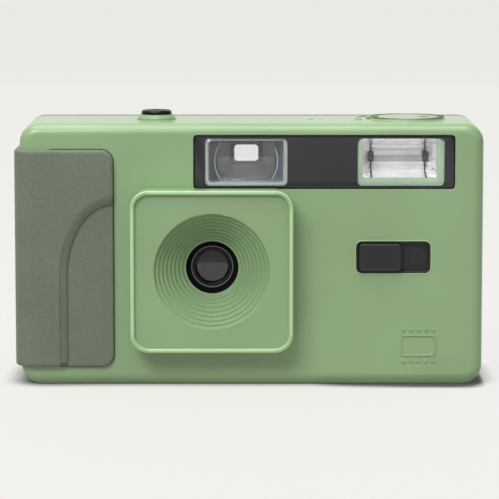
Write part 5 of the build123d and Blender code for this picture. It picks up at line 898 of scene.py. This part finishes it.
# %% [markdown]
# ## The back
# The back is one black door with a film window, under a fixed cover that holds the eyepiece, the
# ready lamp and the counter's window. The plain middle of such a door is usually given a leather
# grain, as a raised panel with a soft edge, and a ribbed rest for the thumb by the film wheel. Both
# are slabs whose faces are inset and raised. The grain is the same cell pattern as the grip's, only
# coarser, because it is pressed to look like hide.

# %% Press the leather panel
finishes["pressed_leather"] = soft_touch("pressed leather grain", tone(34, 34, 35), cell_mm=1.1,
                                         depth_mm=0.14, edge_mm=0.3)
DOOR_FACE = 16.5

def door_plate(name, left, right, low, high, proud_mm, corner_mm, insets, round_mm, round_steps):
    """A plate that is let into the door, with its face inset and raised in steps."""
    plate = slab(name, (left, DOOR_FACE - 0.1, low), (right, DOOR_FACE + proud_mm, high), corner_mm)
    pick("FACE", lambda middle, normal: normal.y > 0.9)
    for border, rise in insets:
        bpy.ops.mesh.inset(thickness=border * MM, depth=rise * MM)
    soften(round_mm, 15, round_steps)
    return plate

leather = door_plate("door_leather_panel", -28.0, 29.5, 5.5, 45.8, 0.25, 2.5,
                     [(0.7, 0.0), (0.35, 0.15)], 0.08, 2)
dress(leather, "black_plastic", "back_door", smooth=40, finish="pressed_leather")

# %% Rib the thumb rest
REST_LEFT, REST_RIGHT, REST_LOW, REST_HIGH = -48.0, -32.0, 28.0, 45.8
REST_RIBS, RIB_MARGIN, RIB_HIGH = 9, 1.1, 0.8
rest = door_plate("door_thumb_rest", REST_LEFT, REST_RIGHT, REST_LOW, REST_HIGH, 0.15, 2.2,
                  [(0.5, 0.1)], 0.05, 1)
rib_step = (REST_HIGH - REST_LOW - 2 * RIB_MARGIN - RIB_HIGH) / (REST_RIBS - 1)
rib = slab("thumb_rib", (REST_LEFT + 1.6, DOOR_FACE + 0.2, REST_LOW + RIB_MARGIN),
           (REST_RIGHT - 1.6, DOOR_FACE + 0.55, REST_LOW + RIB_MARGIN + RIB_HIGH), 0.3, along="X",
           segments=4)
soften(0.12)
thumb_ribs = [rib] + [twin(rib, f"thumb_rib_{number}", shift_mm=(0, 0, rib_step * number))
                      for number in range(1, REST_RIBS)]
dress(joined([rest] + thumb_ribs, "door_thumb_rest"), "black_plastic", "back_door", smooth=40)

# %% [markdown]
# ## Frames of the windows in the back
# The film window and the eyepiece each get a raised frame, so that a scratch meets the frame before
# the pane. The counter's drum carries plain numbers, every third frame, with a short line for each
# frame between them. A number is a text, made into a mesh and only then turned to its place.

# %% Frame the film window and the eyepiece
film_bezel = window_frame("film_window_bezel", (32.0, DOOR_FACE - 0.05, 14.0),
                          (42.0, DOOR_FACE + 0.35, 40.0), 1.0, 2.2, 0.12)
dress(film_bezel, "black_plastic", "back_door", smooth=40)
eye_bezel = window_frame("eyepiece_bezel", (-7.3, DOOR_FACE - 0.05, 50.0),
                         (4.6, DOOR_FACE + 0.5, 58.9), 1.15, 1.9, 0.16, 3)
dress(eye_bezel, "black_plastic", "camera_body", smooth=40)

# %% Number the counter drum
DRUM_MIDDLE, DRUM_R = Vector((-15.907, 7.2, 55.5)), 7.25
DRUM_FRAMES, NUMBER_EVERY, NUMBER_SIZE, NUMBER_PROUD = 36, 3, 2.0, 0.02
upright = (Matrix.Translation(Vector((0, NUMBER_PROUD, 0.35)) * MM)
           @ Matrix.Rotation(math.pi, 4, "Z") @ Matrix.Rotation(math.radians(90), 4, "X"))
marks = []
for number in range(DRUM_FRAMES):
    turn_to = (Matrix.Translation(DRUM_MIDDLE * MM)
               @ Matrix.Rotation(math.radians(-360 * number / DRUM_FRAMES), 4, "Z")
               @ Matrix.Translation(Vector((0, DRUM_R, 0)) * MM))
    if number % NUMBER_EVERY == 0:
        leave_piece()
        bpy.ops.object.text_add()
        text = bpy.context.object.data
        text.body, text.align_x, text.align_y = str(number), "CENTER", "CENTER"
        text.size, text.extrude = NUMBER_SIZE * MM, NUMBER_PROUD * MM
        bpy.ops.object.convert(target="MESH")
        mark = bpy.context.object
        mark.data.transform(turn_to @ upright)
    else:
        mark = slab("frame_line", (-0.09, -0.05, -1.9), (0.09, 0.04, -1.0))
        only(mark)
        mark.data.transform(turn_to)
    marks.append(mark)
counter_marks = joined(marks, "counter_numbers")
bpy.ops.object.mode_set(mode="EDIT")
outward()
dress(counter_marks, "black_plastic", "frame_counter", smooth=20, finish="button_black")

# %% [markdown]
# ## The wheel's arrow
# Above the thumb wheel a small raised triangle shows the way the film is wound.

# %% Raise the winding arrow
WHEEL_X, ARROW_Z = -42.8, 61.0
winding_arrow = arrow_head("winding_arrow", (WHEEL_X, DOOR_FACE + 0.05, ARROW_Z), 1.5, 0.5,
                           (math.radians(90), math.radians(90), 0), 0.12)
dress(winding_arrow, "counter_white", "camera_body")

# %% [markdown]
# ## Small pieces on the front
# A raised film sign in the lower corner says what the camera takes. It is a plain picture frame
# between two rows of perforations, as on any film. The flash slider gets a fine raised border,
# which gives the bright edge that the photograph shows, and its recess a thin raised surround that
# the fingertip feels before it finds the slider. The surround's lighter green is a painted
# highlight along the recess's edge.

# %% Raise the film sign
SIGN_X, SIGN_Z, SIGN_BACK, SIGN_FRONT = 41.1, 9.7, -16.42, -16.68
HOLE_PITCH, ROW_PITCH = 1.85, 7.8
SIGN_HALF, SIGN_TALL = 4.4, 2.7
sign_frame = window_frame("film_sign", (SIGN_X - SIGN_HALF, SIGN_FRONT, SIGN_Z - SIGN_TALL),
                          (SIGN_X + SIGN_HALF, SIGN_BACK, SIGN_Z + SIGN_TALL), 0.45, 0.9, 0.07)
hole = slab("perforation", (SIGN_X - 4.2, SIGN_FRONT, SIGN_Z + 3.5),
            (SIGN_X - 3.2, SIGN_BACK, SIGN_Z + 4.3), 0.2, segments=3)
soften(0.06, segments=1)
holes = [hole] + [twin(hole, f"perforation_{row}_{number}",
                       shift_mm=(number * HOLE_PITCH, 0, -row * ROW_PITCH))
                  for row in range(2) for number in range(5) if row or number]
dress(joined([sign_frame] + holes, "film_sign"), "green_shell", "camera_body", smooth=40)

# %% Edge the flash slider
slider_low, slider_high = box_of("flash_switch")
SLIDER_MARGIN = 0.3
slider_edge = window_frame(
    "flash_slider_edge",
    (slider_low.x + SLIDER_MARGIN, slider_low.y - 0.02, slider_low.z + SLIDER_MARGIN),
    (slider_high.x - SLIDER_MARGIN, slider_low.y + 0.15, slider_high.z - SLIDER_MARGIN),
    0.28, 0.7, 0.05)
dress(slider_edge, "black_plastic", "flash_switch", smooth=40)

# %% Surround the slider's recess
SWITCH_LEFT, SWITCH_RIGHT, SWITCH_LOW, SWITCH_TOP, SURROUND = 25.7, 44.0, 27.7, 35.6, 0.3
# the surround's lighter green is a painted highlight along the recess's edge
finishes["surround_painted_highlight"] = moulded("switch surround with painted highlight", shade(GREEN, 1.3), 0.3,
                                     edge_mm=0.1)
surround = window_frame("switch_surround", (SWITCH_LEFT - SURROUND, -16.62, SWITCH_LOW - SURROUND),
                        (SWITCH_RIGHT + SURROUND, -16.45, SWITCH_TOP + SURROUND), SURROUND, 1.7,
                        0.08)
dress(surround, "green_shell", "camera_body", finish="surround_painted_highlight")

# %% [markdown]
# ## The grip's edge
# The grip is moulded over the shell in a second tool, and a narrow groove all round takes up what
# that tool leaves. The groove's shadow is painted: a thin dark green slab behind the grip, showing
# all round it, draws the dark line. The thumb recess is pressed in with a soft ramp: a line drawn
# along its edge and extruded inwards, whose lower edge is then made narrower.

# %% Lay a painted shadow line around the grip
# a dark green slab that paints the shadow of the grip's groove
finishes["groove_painted_shadow"] = moulded("painted shadow of the grip groove", tone(50, 64, 42), 0.8)
GROOVE, FLAT_LEFT, GRIP_CORNER = 0.22, -52.0, 3.2
grip_low, grip_high = box_of("grip_pad")
groove = slab("grip_groove_painted_shadow", (FLAT_LEFT, -16.54, grip_low.z - GROOVE),
              (grip_high.x + GROOVE, -16.4, grip_high.z + GROOVE), GRIP_CORNER)
soften(0.03, segments=1)
dress(groove, "black_plastic", "camera_body", finish="groove_painted_shadow")

# %% Soften the step of the thumb recess
RECESS_X, RECESS_Z, RECESS_WIDE, RECESS_HIGH = -34.0, 27.0, 13.0, 19.3
RAMP_FRONT, RAMP_FLOOR, RAMP_WIDE, RAMP_THICK = -18.18, -17.32, 1.7, 0.3
ramp_line = [Vector((RECESS_X - RECESS_WIDE * math.sin(math.radians(degrees)), RAMP_FRONT,
                     RECESS_Z + RECESS_HIGH * math.cos(math.radians(degrees)))) * MM
             for degrees in range(1, 91, 3)]
ramp_line.append(Vector((RECESS_X - RECESS_WIDE, RAMP_FRONT, grip_low.z + 0.75)) * MM)
ramp = drawn("grip_recess_ramp", ramp_line)
extrude((0, RAMP_FLOOR - RAMP_FRONT, 0), edges=True)
for above, narrower in ((-1000, (1 - RAMP_WIDE / RECESS_WIDE, 1, 1)),
                        (RECESS_Z, (1, 1, 1 - RAMP_WIDE / RECESS_HIGH))):
    pick("VERT", lambda corner: corner.y > RAMP_FRONT + 0.4 and corner.z > above)
    bpy.ops.transform.resize(value=narrower,
                             center_override=Vector((RECESS_X, RAMP_FLOOR, RECESS_Z)) * MM)
outward()
thicken(ramp, RAMP_THICK, 0.0)
dress(ramp, "soft_grip", "camera_body", smooth=60)

# %% [markdown]
# ## The base
# Under the camera are four screws, the rewind release and the battery lid. The lid gets a raised
# triangle, as a hint for the thumb that opens it.

# %% Point the battery lid
LID_X, LID_Y = 17.4, -3.4
lid_arrow = arrow_head("battery_lid_arrow", (LID_X, LID_Y, 0.2), 1.4, 0.3, (0, 0, 0), 0.08)
dress(lid_arrow, "green_shell", "battery_door")

# %% Give every node of the frame its finish
own_finish = {"lens_barrel": "lens_black", "aperture_plate": "lens_black",
              "shutter_blade": "blackened_steel", "shutter_plate": "blackened_steel",
              "shutter_button": "button_black", "eyepiece_window": "eyepiece_glass"}
for name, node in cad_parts.items():
    for place in node.material_slots:
        place.material = finishes[own_finish.get(name, place.material.name)]
print("nodes with a finish of their own:", len(own_finish))

# %% [markdown]
# ## The studio
# A camera stands on pale paper that sweeps up behind it, under one large overhead softbox that
# lights the top, with a softer light from each side. The room behind the photographer is dim, and
# glossy parts show it: their upper half is dark and their lower half shows the bright table. The
# paper glows evenly with its own tone, and the camera's shadow is painted into the glow: dark where
# the camera touches it, and darker towards the right end, as the main side light, which stands on
# the left, would cast it.

# %% Sweep the paper
PAPER = tone(238, 237, 233)
leave_piece()
bpy.ops.mesh.primitive_plane_add(size=4.0, location=(0, -0.9, 0))
paper = settle(bpy.context.object, "studio_paper")
pick("EDGE", lambda a, b: min(a.y, b.y) > 1000)
extrude((0, 300, 0), edges=True)
extrude((0, 0, 2400), edges=True)
pick("EDGE", lambda a, b: min(a.y, b.y) > 1300 and max(a.z, b.z) < 1)
bpy.ops.mesh.bevel(offset=0.28, segments=16, affect="EDGES")
outward()
only(paper)
bpy.ops.object.shade_smooth()

# %% Let the paper glow, with the camera's shadow painted in
DIFFUSE, GLOW, BOUNCE = 0.06, 0.91, 0.5
SHADOW_REACH, SHADOW_FLOOR, SHADOW_SIDE = 7 * MM, 0.05, 6.0

finish, surface, place = new_finish("studio paper", shade(PAPER, DIFFUSE), 0.9,
                                    Emission_Color=PAPER, Emission_Strength=GLOW)
fibre = ranged(finish, spots(finish, place, 1.2))
along = add_node(finish, "SeparateXYZ", Vector=place)
# painted shadow: the paper's glow is dimmed near the camera, and more so towards the right end
painted_shadow_side = reckoned(finish, "MULTIPLY",
                  ranged(finish, along.outputs["X"], 15 * MM, 48 * MM, 1.0, SHADOW_SIDE),
                  ranged(finish, along.outputs["X"], 54 * MM, 58 * MM, 1.0, 1 / SHADOW_SIDE))
open_sky = add_node(finish, "AmbientOcclusion", {"samples": 8}, Distance=SHADOW_REACH)
painted_shadow_ao = reckoned(finish, "POWER", open_sky.outputs["AO"], painted_shadow_side)
feed(finish, surface,
     Base_Color=tint(finish, fibre, shade(PAPER, DIFFUSE * 0.98), shade(PAPER, DIFFUSE)),
     Emission_Strength=ranged(finish, painted_shadow_ao, 0.25, 0.85, GLOW * SHADOW_FLOOR, GLOW))
either(finish, add_node(finish, "LightPath").outputs["Is Diffuse Ray"], surface,
       add_node(finish, "Emission", Color=PAPER, Strength=BOUNCE))
paper.data.materials.append(finish)

# %% Light the studio
ROOM_LIGHT, BODY_MIDDLE = 0.2, Vector((0.0, 0.0, 0.03))

def softbox(name, place, size, power):
    """A large soft light, in metres and watts, that points at the camera body."""
    turn = (Vector(place) - BODY_MIDDLE).to_track_quat("Z", "Y").to_euler()
    bpy.ops.object.light_add(type="AREA", location=place, rotation=turn)
    lamp = bpy.context.object
    lamp.name = name
    lamp.data.shape = "RECTANGLE"
    lamp.data.size, lamp.data.size_y = size
    lamp.data.energy = power
    print(name, power, "W")

softbox("top_softbox", (-0.1, -0.1, 0.9), (0.9, 0.6), 6.5)
softbox("left_softbox", (-0.4, -0.8, 0.78), (0.6, 0.45), 7.1)
softbox("right_softbox", (0.9, -0.7, 0.45), (0.8, 0.8), 0.8)

room = bpy.data.worlds.new("dim studio room")
bpy.context.scene.world = room
room.use_nodes = True
dim = room.node_tree.nodes["Background"]
feed(room, dim, Color=PAPER, Strength=ROOM_LIGHT)
either(room, add_node(room, "LightPath").outputs["Is Camera Ray"], dim,
       add_node(room, "Background", Color=PAPER, Strength=1.0), end="World Output")
bpy.context.scene.view_settings.view_transform = "Standard"
